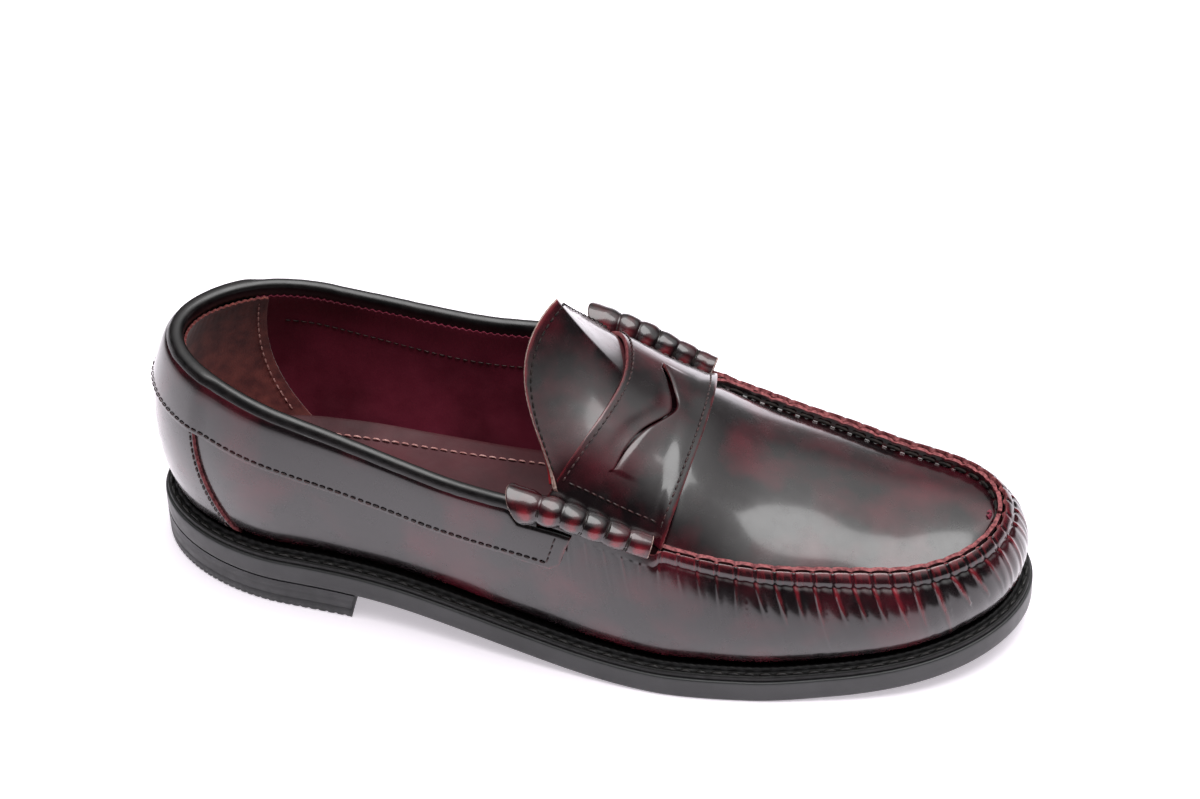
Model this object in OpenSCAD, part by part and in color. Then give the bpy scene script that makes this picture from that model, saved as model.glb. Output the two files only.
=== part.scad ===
// Penny loafer for the right foot, as separate pieces, in millimetres.
// +X points to the toe, +Y to the inner side of the foot and +Z up.
// The origin is on the ground, under the middle of the outsole.

/* [Sole] */
// Length of the outsole from heel to toe
sole_len = 300; // [280:1:320]
// Greatest width of the outsole, at the ball of the foot
sole_w = 105; // [98:1:112]
// Thickness of the outsole
sole_t = 8.5; // [6:0.5:10]
// Height of the heel under the outsole, at the breast
heel_h = 10.5; // [8:0.5:18]
// Length of the heel from its back to its breast
heel_len = 77; // [70:1:84]
// Thickness of the wearing layer at the foot of the heel
top_piece_t = 4; // [3:0.5:6]
// Height of the toe's underside above the ground
toe_spring = 9; // [4:0.5:14]

/* [Welt and insole] */
// Thickness of the welt
welt_t = 2.2; // [1.5:0.1:4]
// Height of the welt's raised bead beside the upper
bead_h = 1.6; // [1:0.1:2.5]
// Distance that the outsole stands out past the upper at its foot
sole_rim = 6; // [5.5:0.25:8]
// Width of the upper's edge that is folded in under the insole
lasting_w = 11; // [8:0.5:13]
// Thickness of the insole board
insole_t = 2.4; // [2:0.1:4]
// Thickness of the sock lining over the insole board
sock_t = 1.2; // [0.8:0.1:2]
// Width of the steel shank
shank_w = 15; // [10:1:20]
// Thickness of the steel shank
shank_t = 1.2; // [0.8:0.1:1.6]
// Diameter of a heel nail
nail_d = 2; // [1.5:0.1:3]

/* [Upper] */
// Height of the topline at the back of the heel
back_h = 91; // [84:1:98]
// Height of the topline beside the strap
side_h = 69.5; // [64:0.5:76]
// Height of the moccasin seam at the ball
seam_h = 52.5; // [48:0.5:58]
// Height of the moccasin seam at the toe
toe_h = 47; // [43:0.5:51]
// Greatest width across the topline
top_w = 92; // [84:1:98]
// Thickness of the outer leather
upper_t = 1.4; // [1:0.1:2]
// Thickness of the stiffeners and canvas behind the outer leather
stiff_t = 0.8; // [0.6:0.1:1.2]
// Thickness of the lining leather
lining_t = 0.9; // [0.7:0.1:1.2]
// Thickness of the collar band
collar_t = 1.1; // [0.8:0.1:1.6]
// Height of the collar band
collar_w = 18; // [14:0.5:22]

/* [Strap and tongue] */
// Thickness of the strap
strap_t = 1.4; // [1:0.1:2]
// Rise of the instep above the seam at the strap's rear edge
instep_rise = 25; // [20:1:30]
// Radius of the rolled strap end at its rear
roll_r = 6.6; // [5.5:0.1:7.5]
// Height of the tongue's tip above the ground
tongue_h = 116; // [108:1:122]
// Diameter of the thick seam thread
cord_d = 1; // [0.7:0.1:1.4]
// Diameter of the fine seam thread
thread_d = 0.6; // [0.4:0.05:0.9]

/* [Hidden] */

// Clearance between flat pieces that lie on each other
fit_gap = 0.12;
// Clearance between the curved layers of the upper
layer_gap = 0.3;
// Clearance beside a seam where two leathers meet edge to edge
seam_gap = 0.3;
LATERAL = -1;
MEDIAL = 1;

// Outline of the sole: [share of the length, share of the half width], rounded at both ends
sole_form = [[0, 0.66], [0.15, 0.69], [0.3, 0.74], [0.45, 0.87], [0.6, 0.99], [0.72, 1], [0.85, 0.885],
    [1, 0.83]];
// Middle line of the sole: [share of the length, distance towards the inner side]
sole_line = [[0, 1], [0.3, -0.5], [0.6, 0], [0.72, 3.3], [0.85, 5.9], [1, 7.7]];
sole_ends = [51, 57] / 105 * sole_w / sole_len;
// Outline of the topline and moccasin seam, in the same form
top_form = [[0, 0.63], [0.15, 0.73], [0.3, 0.85], [0.45, 0.98], [0.58, 0.99], [0.75, 0.88], [0.9, 0.67],
    [1, 0.64]];
top_line = [[0, 0.5], [0.3, 2], [0.6, 2], [0.75, 3], [0.9, 5.4], [1, 7.7]];
top_ends = [0.16, 0.12];
top_back = 10;
top_front = 10;
back_to_side = back_h - side_h;
top_height = [[0, back_h], [0.08, back_h - 0.08 * back_to_side], [0.2, back_h - 0.42 * back_to_side],
    [0.35, side_h + 0.15 * back_to_side], [0.5, side_h], [0.6, lerp(seam_h, side_h, 0.42)],
    [0.7, seam_h], [0.8, lerp(seam_h, toe_h, 0.7)], [0.9, toe_h - 1], [1, toe_h + 1]];
// Outward bulge of the wall halfway up
wall_bulge = [[0, 7], [0.12, 6], [0.3, 3], [0.5, 3.5], [0.7, 5], [0.85, 5], [1, 4]];
// Rise of the middle of the apron above its edges
crown_form = [[0.4, 1.4], [0.53, 1.05], [0.6, 0.9], [0.65, 0.78], [0.72, 0.52], [0.83, 0.34], [0.92, 0.17],
    [1, 0.03]];
crown_power = 2.4;
// Underside of the outsole: [share of the length, height]
bottom_form = [[0, heel_h + 1], [0.12, heel_h + 0.4], [0.26, heel_h], [0.4, 0.6 * heel_h],
    [0.52, 0.16 * heel_h],
    [0.62, 0], [0.72, 0], [0.8, 0.15 * toe_spring], [0.9, 0.5 * toe_spring], [1, toe_spring]];

upper_top_t = upper_t + stiff_t + lining_t + 2 * layer_gap;
h_upper = sole_t + welt_t + fit_gap;
h_insole = h_upper + upper_t + fit_gap;
h_sock = h_insole + insole_t;
inner_edge = sole_rim + upper_top_t + 0.6;
cork_edge = sole_rim + lasting_w + 0.3;
bead_w = 1.4;
bead_edge = sole_rim - 2.6;
profile_steps = 40;
outline_steps = 72;
roll_front_r = roll_r * 0.8;
roll_span_lateral = [138, 181];
roll_span_medial = [143, 183];
roll_dip = 12;
roll_lead = 3;
roll_tail = 5;
piping_reach = 6;
piping_fade = 6;
roll_side = 1.2;
roll_up = 0.6;
roll_lobes = 6;
roll_waist = 0.88;
piping_r = upper_top_t / 2;
piping_drop = 2 * piping_r + 2 * layer_gap;
seam_drop = 2;
apron_inset = upper_t + seam_gap;
inner_drop = seam_drop + upper_t + lining_t + 2 * layer_gap + 1;
inner_foot = upper_t + 2 * layer_gap;
stiff_d = upper_t + layer_gap;
lining_d = stiff_d + stiff_t + layer_gap;
collar_d = layer_gap + collar_t;
strap_d = layer_gap + strap_t;
roll_seat = 0.6;
strap_slope = 0.8;

// ---- Numbers ----

function lerp(a, b, t) = a + (b - a) * t;
function unit(v) = v / norm(v);
function clamp(t) = min(1, max(0, t));
function steps(a, b, n) = [for (i = [0:n]) lerp(a, b, i / n)];
function flat(rows) = [for (row = rows) each row];
function ease(t) = let (c = clamp(t)) c * c * (3 - 2 * c);

function slope(table, i) = let (last = len(table) - 1, lo = max(0, i - 1), hi = min(last, i + 1))
    (table[hi][1] - table[lo][1]) / (table[hi][0] - table[lo][0]);
function span_of(table, s, i = 0) = (i >= len(table) - 2 || s < table[i + 1][0]) ? i : span_of(table, s, i + 1);
// Smooth curve through a table of [place, value]
function curve(table, s) = let (
    c = min(table[len(table) - 1][0], max(table[0][0], s)),
    i = span_of(table, c),
    h = table[i + 1][0] - table[i][0],
    t = (c - table[i][0]) / h)
    (2 * t * t * t - 3 * t * t + 1) * table[i][1] + (t * t * t - 2 * t * t + t) * h * slope(table, i)
    + (3 * t * t - 2 * t * t * t) * table[i + 1][1] + (t * t * t - t * t) * h * slope(table, i + 1);

// ---- The sole's outline and side profile ----

// A loop round the shoe is walked by an angle: 0 at the heel, 90 on the outer side, 180 at the toe
function share(a) = (1 - cos(a)) / 2;
function side(a) = (((a % 360) + 360) % 360) < 180 ? LATERAL : MEDIAL;
function round_end(s, ends) = sqrt(1 - pow(max(0, 1 - s / ends[0]), 2))
    * sqrt(1 - pow(max(0, 1 - (1 - s) / ends[1]), 2));
function loop_point(a, x0, x1, line, form, w, ends) = let (s = share(a))
    [lerp(x0, x1, s), curve(line, s) + side(a) * curve(form, s) * w / 2 * round_end(s, ends)];
function sole_loop(a) = loop_point(a, 0, sole_len, sole_line, sole_form, sole_w, sole_ends);
function sole_out(a) = let (t = unit(sole_loop(a + 1) - sole_loop(a - 1))) [t[1], -t[0]];
function sole_inset(a, inset) = sole_loop(a) - inset * sole_out(a);
function outline(inset) = [for (i = [0:outline_steps - 1]) sole_inset(i * 360 / outline_steps, inset)];

outer_points = outline(0);
x_middle = (min([for (p = outer_points) p[0]]) + max([for (p = outer_points) p[0]])) / 2;
y_middle = (min([for (p = outer_points) p[1]]) + max([for (p = outer_points) p[1]])) / 2;

profile_x = steps(-2, sole_len + 2, profile_steps);
profile_z = [for (x = profile_x) max(0, curve(bottom_form, x / sole_len))];
// Height of the outsole's underside, straight between the profile's stations
function ground(x) = let (
    t = min(profile_steps - 0.001, max(0, (x + 2) / (sole_len + 4) * profile_steps)),
    i = floor(t))
    lerp(profile_z[i], profile_z[i + 1], t - i);

// Everything between two insets of the outline and two heights above the outsole's underside
module slab(inset, lo, hi, from = -5, to = 400) {
    stations = [for (x = profile_x) if (x > from && x < to) x];
    xs = concat([max(from, profile_x[0])], stations, [min(to, profile_x[profile_steps])]);
    keep = [for (i = [0:len(xs) - 1]) if (i == 0 || xs[i] - xs[i - 1] > 0.01) xs[i]];
    intersection() {
        linear_extrude(200, center = true) polygon(outline(inset));
        rotate([90, 0, 0]) linear_extrude(200, center = true) polygon(concat(
            [for (x = keep) [x, ground(x) + lo]],
            [for (i = [len(keep) - 1:-1:0]) [keep[i], ground(keep[i]) + hi]]));
    }
}

module centred() {
    translate([-x_middle, -y_middle, 0]) children();
}

// ---- The upper's surfaces ----

function top_plan(a) = loop_point(a, top_back, sole_len - top_front, top_line, top_form, top_w, top_ends);
function top_out(a) = let (t = unit(top_plan(a + 1) - top_plan(a - 1))) [t[1], -t[0]];
function top_z(a) = curve(top_height, share(a));
function top_point(a, inset = 0, drop = 0) = let (p = top_plan(a) - inset * top_out(a)) [p[0], p[1],
    top_z(a) - drop];
function foot_point(a) = let (p = sole_inset(a, sole_rim)) [p[0], p[1], ground(p[0]) + h_upper];
function angle_at(x) = acos(1 - 2 * (x - top_back) / (sole_len - top_front - top_back));
function around(x, which) = which == LATERAL ? angle_at(x) : 360 - angle_at(x);

// One rib of the wall for every few degrees: [point at the welt, point at the top, bulge halfway]
rib_step = 1.5;
ribs = [for (a = [0:rib_step:360]) let (out = sole_out(a), bulge = curve(wall_bulge, share(a)))
    [foot_point(a), top_point(a), bulge * [out[0], out[1], 0]]];
function rib(a) = let (k = (((a % 360) + 360) % 360) / rib_step, i = floor(k)) lerp(ribs[i], ribs[i + 1],
    k - i);
// The wall's outer face: v is 0 at the welt and 1 at the topline or the seam
function wall(a, v) = let (r = rib(a)) lerp(r[0], r[1], v) + 4 * v * (1 - v) * r[2];
function wall_out(a, v) = unit(cross(wall(a + rib_step, v) - wall(a - rib_step, v),
    wall(a, v + 0.02) - wall(a, v - 0.02)));
// A layer of the wall at distance d outside the outer face, negative inside it
function skin(a, v, d) = wall(a, v) + d * wall_out(a, v);
function wall_height(a) = let (r = rib(a)) r[1][2] - r[0][2];

// Beside the strap the wall stops lower, under the rolled strap end
function span_on(which) = which == LATERAL ? roll_span_lateral : roll_span_medial;
function roll_span(a) = span_on(side(a));
function roll_share(a) = let (x = rib(a)[1][0], span = roll_span(a))
    ease((x - span[0] + roll_dip) / (roll_dip - roll_lead)) * ease((span[1] + roll_tail - x) / roll_tail);
function roll_radius(a) = let (x = rib(a)[1][0], span = roll_span(a)) lerp(roll_r, roll_front_r,
    (x - span[0]) / (span[1] - span[0]));
// Heights on the wall: so many millimetres below the topline, below the wall's own edge, or above the welt
function under_top(a, drop) = 1 - drop / wall_height(a);
function under_edge(a, drop) = under_top(a, drop + roll_share(a) * (roll_radius(a) - roll_up + roll_seat));
function over_welt(a, rise) = rise / wall_height(a);
// How far the quarters stop below the topline, to leave room for the piping
function piped(a) = piping_drop * ease((roll_span(a)[0] + piping_reach + 1 + piping_fade - rib(a)[1][0])
    / piping_fade);

// Every layer of the wall bends at the same angles, so that the layers stay parallel
station_step = 4.5;
heel_step = 2.7;
heel_turn = 40;
function roll_knots(which) = let (span = span_on(which), fade = span[0] + piping_reach + 1)
    [for (x = [span[0] - roll_dip, span[0] - roll_lead, fade, fade + piping_fade, span[1],
        span[1] + roll_tail]) around(x, which)];
function reversed(list) = [for (i = [len(list) - 1:-1:0]) list[i]];
knots = concat([0, heel_turn], roll_knots(LATERAL), [180], reversed(roll_knots(MEDIAL)),
    [360 - heel_turn, 360]);
last_knot = len(knots) - 1;
one_turn = [for (k = [0:last_knot - 1])
    let (step = k == 0 || k == last_knot - 1 ? heel_step : station_step,
        n = ceil((knots[k + 1] - knots[k]) / step))
    for (i = [0:n - 1]) lerp(knots[k], knots[k + 1], i / n)];
stations = concat(one_turn, [for (a = one_turn) a + 360]);
function stations_between(from, to) = concat([from], [for (a = stations) if (a > from + 1 && a < to - 1) a],
    [to]);

// A closed sheet between two grids of points
module sheet(outer, inner) {
    n = len(outer);
    m = len(outer[0]);
    half = n * m;
    points = concat(flat(outer), flat(inner));
    faces = concat(
        [for (i = [0:n - 2], j = [0:m - 2]) each [
            [i * m + j, i * m + j + 1, (i + 1) * m + j + 1],
            [i * m + j, (i + 1) * m + j + 1, (i + 1) * m + j],
            [half + i * m + j, half + (i + 1) * m + j + 1, half + i * m + j + 1],
            [half + i * m + j, half + (i + 1) * m + j, half + (i + 1) * m + j + 1]]],
        [for (i = [0:n - 2], e = [0, m - 1]) let (p = i * m + e, q = (i + 1) * m + e)
            each (e == 0 ? [[p, q, half + q], [p, half + q, half + p]] : [[q, p, half + p],
                [q, half + p, half + q]])],
        [for (j = [0:m - 2], e = [0, n - 1]) let (p = e * m + j, q = e * m + j + 1)
            each (e == 0 ? [[q, p, half + p], [q, half + p, half + q]] : [[p, q, half + q],
                [p, half + q, half + p]])]);
    polyhedron(points, faces);
}

// A closed tube through a list of rings of points
module tube(rings) {
    n = len(rings);
    m = len(rings[0]);
    faces = concat(
        [for (i = [0:n - 2], j = [0:m - 1]) let (k = (j + 1) % m) each [
            [i * m + j, i * m + k, (i + 1) * m + k],
            [i * m + j, (i + 1) * m + k, (i + 1) * m + j]]],
        [[for (j = [m - 1:-1:0]) j]],
        [[for (j = [0:m - 1]) (n - 1) * m + j]]);
    polyhedron(flat(rings), faces);
}
// A ring of n points round a place on a path, whose radius is r
function ring(centre, along, out, r, n) = let (u = unit(cross(along, out)), w = cross(u, along))
    [for (k = [0:n - 1]) centre + r * (cos(k * 360 / n) * w + sin(k * 360 / n) * u)];

// A seam down the wall is [angle at the foot, angle at the top, how it curves]
function seam_angle(seam, t) = lerp(seam[1], seam[0], pow(1 - t, seam[2]));
function moved(seam, d) = [seam[0] + d, seam[1] + d, seam[2]];
function upright(a) = [a, a, 1];

// A piece of the wall between two skins d0 and d1 and two seams, from height lo to height hi.
// A lasted piece is also folded in under the insole at its foot.
module wall_piece(from, to, rows, d0, d1, lo, hi, lasted = false) {
    tops = stations_between(from[1], to[1]);
    columns = len(tops) - 1;
    function angle(i, t) = tops[i] + lerp(seam_angle(from, t) - from[1], seam_angle(to, t) - to[1],
        (tops[i] - from[1]) / (to[1] - from[1]));
    function at(i, t, d) = let (a = angle(i, t)) skin(a, lerp(lo(a), hi(a), t), d);
    function corner(i, d) = let (a = angle(i, 0), p = skin(a, 0, d)) [p[0], p[1], rib(a)[0][2] - d];
    function fold(i, d) = let (p = sole_inset(angle(i, 0), sole_rim + lasting_w)) [p[0], p[1],
        ground(p[0]) + h_upper - d];
    function grid(d) = [for (i = [0:columns]) lasted
        ? concat([fold(i, d), corner(i, d)], [for (t = steps(0, 1, rows)) if (t > 0) at(i, t, d)])
        : [for (t = steps(0, 1, rows)) at(i, t, d)]];
    sheet(grid(d0), grid(d1));
}
welt_edge = function(a) 0;
quarter_edge = function(a) under_edge(a, piped(a));
inner_welt_edge = function(a) over_welt(a, inner_foot);
inner_top_edge = function(a) under_edge(a, piped(a) + 0.5);
seam_edge = function(a) under_edge(a, inner_drop);

counter_lateral = [angle_at(40), angle_at(22), 2];
counter_medial = [360 - angle_at(40), 360 - angle_at(22), 2];
quarter_seam = [around(roll_span_medial[1] + 3, MEDIAL), around(roll_span_medial[1] - 4, MEDIAL), 1];
grip_lateral = [angle_at(54), angle_at(33), 3];
grip_medial = [360 - angle_at(54), 360 - angle_at(33), 3];
stiffener_end = 74;
lining_end = roll_span_medial[1] + 1;
puff_end = sole_len - 64;
seam_turn = 0.25;

// ---- The apron, strap and tongue ----

function beside_roll(a) = roll_share(a) * max(0, roll_radius(a) + strap_slope * strap_d
    + layer_gap - roll_side - apron_inset);
function apron_edge(a) = top_point(a, apron_inset + beside_roll(a), seam_drop);
// One rib of the apron for every few degrees: [point on the outer edge, point on the inner edge, rise]
lid_ribs = [for (a = [0:rib_step:180]) [apron_edge(a), apron_edge(360 - a),
    [0, 0, instep_rise * curve(crown_form, share(a))]]];
function lid(a, q) = let (k = a / rib_step, i = min(len(lid_ribs) - 2, floor(k)),
    r = lerp(lid_ribs[i], lid_ribs[i + 1], k - i))
    lerp(r[0], r[1], (q + 1) / 2) + (1 - pow(abs(q), crown_power)) * r[2];
function lid_out(a, q) = unit(cross(lid(min(180, a + 1), q) - lid(a - 1, q),
    lid(a, min(1, q + 0.03)) - lid(a, max(-1, q - 0.03))));
function lid_skin(a, q, d) = lid(a, q) + d * lid_out(a, q);
// The strap's edges, q from -1 on the outer side to 1 on the inner side
function strap_rear(q) = 145 + 17 * (1 - q * q);
function strap_front(q) = 184.5 + 5.5 * (1 - q * q);
function slot_rear(y) = curve([[-28, 165], [0, 169.5], [20, 171]], y);
function slot_front(y) = curve([[-28, 165.5], [-14, 172], [0, 180], [10, 177], [20, 171.5]], y);
// The strap and the apron share their lines across the shoe, so that one lies flat on the other
strap_rows = 9;
apron_rows = 10;
apron_front_a = 177;
function strap_line(q, k) = angle_at(lerp(strap_rear(q), strap_front(q), k / strap_rows));
function lid_line(q, k) = k <= strap_rows ? strap_line(q, k) : lerp(strap_line(q, strap_rows),
    apron_front_a, (k - strap_rows) / apron_rows);
module lid_piece(first, last, d0, d1) {
    function grid(d) = [for (k = [first:last]) [for (q = steps(-1, 1, 24)) lid_skin(lid_line(q, k), q, d)]];
    sheet(grid(d0), grid(d1));
}

tongue_gap = 3;
tongue_tip_x = 140;
tongue_tip_y = 4;
tongue_low_z = side_h + 5.5;
tongue_sides = 0.96;
tongue_bow = 5.5;
// The tongue's seam under the strap, and its free edge
function tongue_root(q) = lid(angle_at(strap_rear(q) - tongue_gap), q * tongue_sides);
function tongue_end(q) = let (root = tongue_root(q))
    [lerp(tongue_tip_x, root[0] - 1, pow(abs(q), 4)) - tongue_bow * sin(180 * abs(q)),
    root[1] + tongue_tip_y * (1 - q * q), lerp(tongue_h, tongue_low_z, pow(abs(q), 1.45))];
function tongue_face(r, q) = lerp(tongue_root(q), tongue_end(q), r) - [0, 0, 5 * r * (1 - r) * (1 - q * q)];
function tongue_out(r, q) = unit(cross(tongue_face(r - 0.02, q) - tongue_face(r + 0.02, q),
    tongue_face(r, q + 0.02) - tongue_face(r, q - 0.02)));
function tongue_skin(r, q, d) = tongue_face(r, q) + d * tongue_out(r, q);
module tongue_piece(reach, width, d0, d1) {
    function grid(d) = [for (r = steps(reach, 0, 7)) [for (q = steps(-width, width, 18)) tongue_skin(r, q, d)]];
    sheet(grid(d0), grid(d1));
}

// ---- Threads ----

module stitch(p, q, d) {
    v = q - p;
    translate(p) rotate([0, acos(v[2] / norm(v)), atan2(v[1], v[0])]) cylinder(d = d, h = norm(v), $fn = 16);
}
function lengths(p) = [for (i = 0, l = 0; i < len(p); i = i + 1, l = i < len(p) ? l + norm(p[i] - p[i - 1])
    : l) l];
// Points spaced evenly along a line of points
function spaced(p, pitch) = let (l = lengths(p), total = l[len(l) - 1], n = round(total / pitch))
    [for (k = [0:n]) [for (c = [0:2]) lookup(k * total / n, [for (i = [0:len(p) - 1]) [l[i], p[i][c]]])]];
// A row of stitches along a line of points, with short gaps between them
module stitches(p, pitch, d) {
    ends = spaced(p, pitch);
    for (i = [0:len(ends) - 2]) stitch(lerp(ends[i], ends[i + 1], 0.14), lerp(ends[i], ends[i + 1], 0.86), d);
}
fine_pitch = 3;
welt_pitch = 5.3;
moc_pitch = 6.3;
// How far a stitch lies above the face that it is pulled into
fine_rise = thread_d * 0.25;

// ---- The bottom of the shoe ----

nail_first = 24;
nail_last = heel_len - 16;
// The nails stand inside the cork, beside the lasted margin of the upper
nail_side = sole_w / 2 * sole_form[0][1] - cork_edge - 4.35;
nail_places = concat([[nail_first, 0]],
    [for (k = [1:3], y = [-nail_side, nail_side]) [lerp(nail_first, nail_last, k / 3), y]]);
nail_head_d = 4.4;
nail_head_t = 0.8;
nail_foot = top_piece_t + 1;
nail_top = heel_h + h_insole - 0.4;
hole_gap = 0.05;
shank_from = 70;
shank_to = 168;
shank_y = -1;
cushion_to = 104;
cushion_edge = inner_edge + 9;
cushion_t = 1.6;

module nail_holes() {
    for (p = nail_places) translate([p[0], p[1], nail_foot]) {
        cylinder(d = nail_d + 2 * hole_gap, h = 60, $fn = 32);
        translate([0, 0, nail_top - nail_foot - nail_head_t - hole_gap]) cylinder(d = nail_head_d + 2
            * hole_gap, h = 20, $fn = 32);
    }
}
module outsole() color("#2b2c2d") centred() difference() {
    slab(0, 0, sole_t);
    nail_holes();
}
module heel_base() color("#2f3031") centred() difference() {
    intersection() {
        linear_extrude(100) polygon(outline(0.4));
        rotate([90, 0, 0]) linear_extrude(200, center = true) polygon(concat(
            [[-2, top_piece_t], [heel_len - 1.5, top_piece_t], [heel_len, ground(heel_len)]],
            [for (i = [profile_steps:-1:0]) if (profile_x[i] < heel_len - 1) [profile_x[i], profile_z[i]]]));
    }
    nail_holes();
}
module heel_top_piece() color("#262728") centred() intersection() {
    linear_extrude(top_piece_t) polygon(outline(0.2));
    translate([-10, -100, 0]) cube([heel_len + 8.5, 200, 50]);
}
module heel_nails() color("#b4b4ae") centred() for (p = nail_places) translate([p[0], p[1], nail_foot]) {
    cylinder(d = nail_d, h = nail_top - nail_foot - nail_head_t / 2, $fn = 32);
    translate([0, 0, nail_top - nail_foot - nail_head_t]) cylinder(d = nail_head_d, h = nail_head_t, $fn = 32);
}
module welt() color("#191919") centred() difference() {
    union() {
        slab(0.9, sole_t, sole_t + welt_t);
        slab(bead_edge, sole_t + welt_t - 0.5, sole_t + welt_t + bead_h);
    }
    slab(bead_edge + bead_w, sole_t + welt_t, sole_t + welt_t + 20);
    slab(cork_edge - 0.1, sole_t - 5, sole_t + 20);
}
module welt_thread() color("#3a3936") centred() stitches(
    [for (a = [0:2:360]) let (p = sole_inset(a, (0.9 + bead_edge) / 2)) [p[0], p[1],
        ground(p[0]) + sole_t + welt_t + 0.1]],
    welt_pitch, cord_d);
module cork_filler() color("#a5804f") centred() difference() {
    slab(cork_edge, sole_t, h_insole);
    intersection() {
        translate([shank_from - 0.5, shank_y - shank_w / 2 - 0.2, 0]) cube([shank_to - shank_from + 1,
            shank_w + 0.4, 80]);
        slab(-40, h_insole - shank_t - 0.1, h_insole + 5);
    }
    nail_holes();
}
module shank() color("#9a9ea2") centred() intersection() {
    translate([shank_from, shank_y - shank_w / 2, 0]) cube([shank_to - shank_from, shank_w, 80]);
    slab(-40, h_insole - shank_t, h_insole);
}
module insole_board() color("#c9a878") centred() difference() {
    slab(inner_edge, h_insole, h_sock);
    slab(cushion_edge, h_sock - cushion_t, h_sock + 5, to = cushion_to);
}
module heel_cushion() color("#d8cfa8") centred() slab(cushion_edge + 0.15, h_sock - cushion_t, h_sock,
    to = cushion_to - 0.15);
module sock_lining() color("#4a1c22") centred() slab(inner_edge + 0.5, h_sock, h_sock + sock_t);
module sock_thread() color("#c9a0a0") centred() stitches(
    [for (a = [-104:2:104]) let (p = sole_inset(a, inner_edge + 10)) [p[0], p[1],
        ground(p[0]) + h_sock + sock_t + fine_rise]],
    fine_pitch, thread_d);

// ---- The outer leather ----

module vamp() color("#2a1216") centred()
    wall_piece(moved(counter_lateral, seam_turn), moved(quarter_seam, -seam_turn), 8, 0, -upper_t,
        welt_edge, quarter_edge, true);
module medial_quarter() color("#2d1418") centred()
    wall_piece(moved(quarter_seam, seam_turn), moved(counter_medial, -seam_turn), 8, 0, -upper_t, welt_edge,
        quarter_edge, true);
module counter_cover() color("#331419") centred()
    wall_piece(moved(counter_medial, seam_turn), moved(counter_lateral, 360 - seam_turn), 8, 0, -upper_t,
        welt_edge, quarter_edge, true);
collar_front = roll_span_medial[0] + 8;
function collar_low(a) = under_top(a, piping_drop + collar_w);
module collar_band() color("#26100f") centred()
    wall_piece(upright(around(collar_front, MEDIAL)), upright(360 + around(collar_front, LATERAL)), 3,
        collar_d, layer_gap,
        function(a) collar_low(a), function(a) under_edge(a, piped(a) + 0.1));
function piping_line(a) = skin(a, under_edge(a, piping_r), -upper_top_t / 2);
module topline_piping() color("#15100f") centred()
    tube([for (a = reversed(stations_between(around(roll_span_medial[0] + piping_reach, MEDIAL),
        360 + around(roll_span_lateral[0] + piping_reach, LATERAL))))
        ring(piping_line(a), unit(piping_line(a - 1) - piping_line(a + 1)), wall_out(a, 0.97), piping_r, 8)]);
module apron() color("#2c1116") centred() lid_piece(1, strap_rows + apron_rows, 0, -upper_t);
module strap() color("#30131a") centred() difference() {
    lid_piece(0, strap_rows, strap_d, layer_gap);
    translate([0, 0, 40]) linear_extrude(80) polygon(concat(
        [for (y = steps(-28, 20, 8)) [slot_rear(y), y]],
        [for (y = steps(20, -28, 12)) [slot_front(y), y]]));
}
// The path down the middle of a rolled strap end, t from 0 at its rear to 1 at its front
function roll_angle(which, t) = let (span = which == LATERAL ? roll_span_lateral : roll_span_medial)
    around(lerp(span[0], span[1], t), which);
function roll_path(which, t) = top_point(roll_angle(which, t), -roll_side, -roll_up);
function roll_along(which, t) = unit(roll_path(which, t + 0.02) - roll_path(which, t - 0.02));
function roll_out(which, t) = let (o = top_out(roll_angle(which, t))) [o[0], o[1], 0];
function roll_size(which, t) = lerp(roll_r, roll_front_r, t);
function roll_lobe(t) = lerp(roll_waist, 1, pow(abs(sin(180 * roll_lobes * t)), 0.7));
module beef_roll(which) {
    count = roll_lobes * 4;
    tube([for (i = [0:count]) let (t = (which == LATERAL ? i : count - i) / count)
        ring(roll_path(which, t), unit(roll_along(which, t) * -which), roll_out(which, t),
            roll_size(which, t) * roll_lobe(t), 14)]);
}
module beef_roll_lateral() color("#3a1519") centred() beef_roll(LATERAL);
module beef_roll_medial() color("#3a1519") centred() beef_roll(MEDIAL);
module roll_thread(which) {
    for (i = [1:roll_lobes - 1]) {
        t = i / roll_lobes;
        v = roll_along(which, t);
        translate(roll_path(which, t)) rotate([0, acos(v[2]), atan2(v[1], v[0])]) rotate_extrude($fn = 48)
            translate([roll_size(which, t) * roll_waist + cord_d * 0.35, 0]) circle(d = cord_d, $fn = 16);
    }
}
module roll_thread_lateral() color("#1a1413") centred() roll_thread(LATERAL);
module roll_thread_medial() color("#1a1413") centred() roll_thread(MEDIAL);

// ---- Seam threads ----

// Each stitch of the moccasin seam is half a ring, standing astride the seam's edge
module moc_seam_thread() color("#241415") centred() {
    from = around(roll_span_lateral[1] + 7, LATERAL);
    to = around(roll_span_medial[1] + 7, MEDIAL);
    path = [for (a = [from:1:to]) a];
    travel = lengths([for (a = path) top_point(a)]);
    count = floor(travel[len(travel) - 1] / moc_pitch);
    for (k = [0.5:count]) {
        a = lookup(k * moc_pitch, [for (i = [0:len(path) - 1]) [travel[i], path[i]]]);
        out = top_out(a);
        translate(top_point(a, upper_t / 2, 0.3)) rotate([90, 0, atan2(out[1], out[0])])
            rotate_extrude(angle = 180, $fn = 48) translate([upper_t / 2 + cord_d / 2 + 0.05, 0]) circle(d =
                cord_d, $fn = 16);
    }
}
module collar_thread() color("#7a3a40") centred() stitches(
    [for (a = steps(around(collar_front - 2, MEDIAL), 360 + around(collar_front - 2, LATERAL), 90))
        skin(a, collar_low(a) + over_welt(a, 2), collar_d + fine_rise)],
    fine_pitch, thread_d);
counter_row_top = 0.68;
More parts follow.
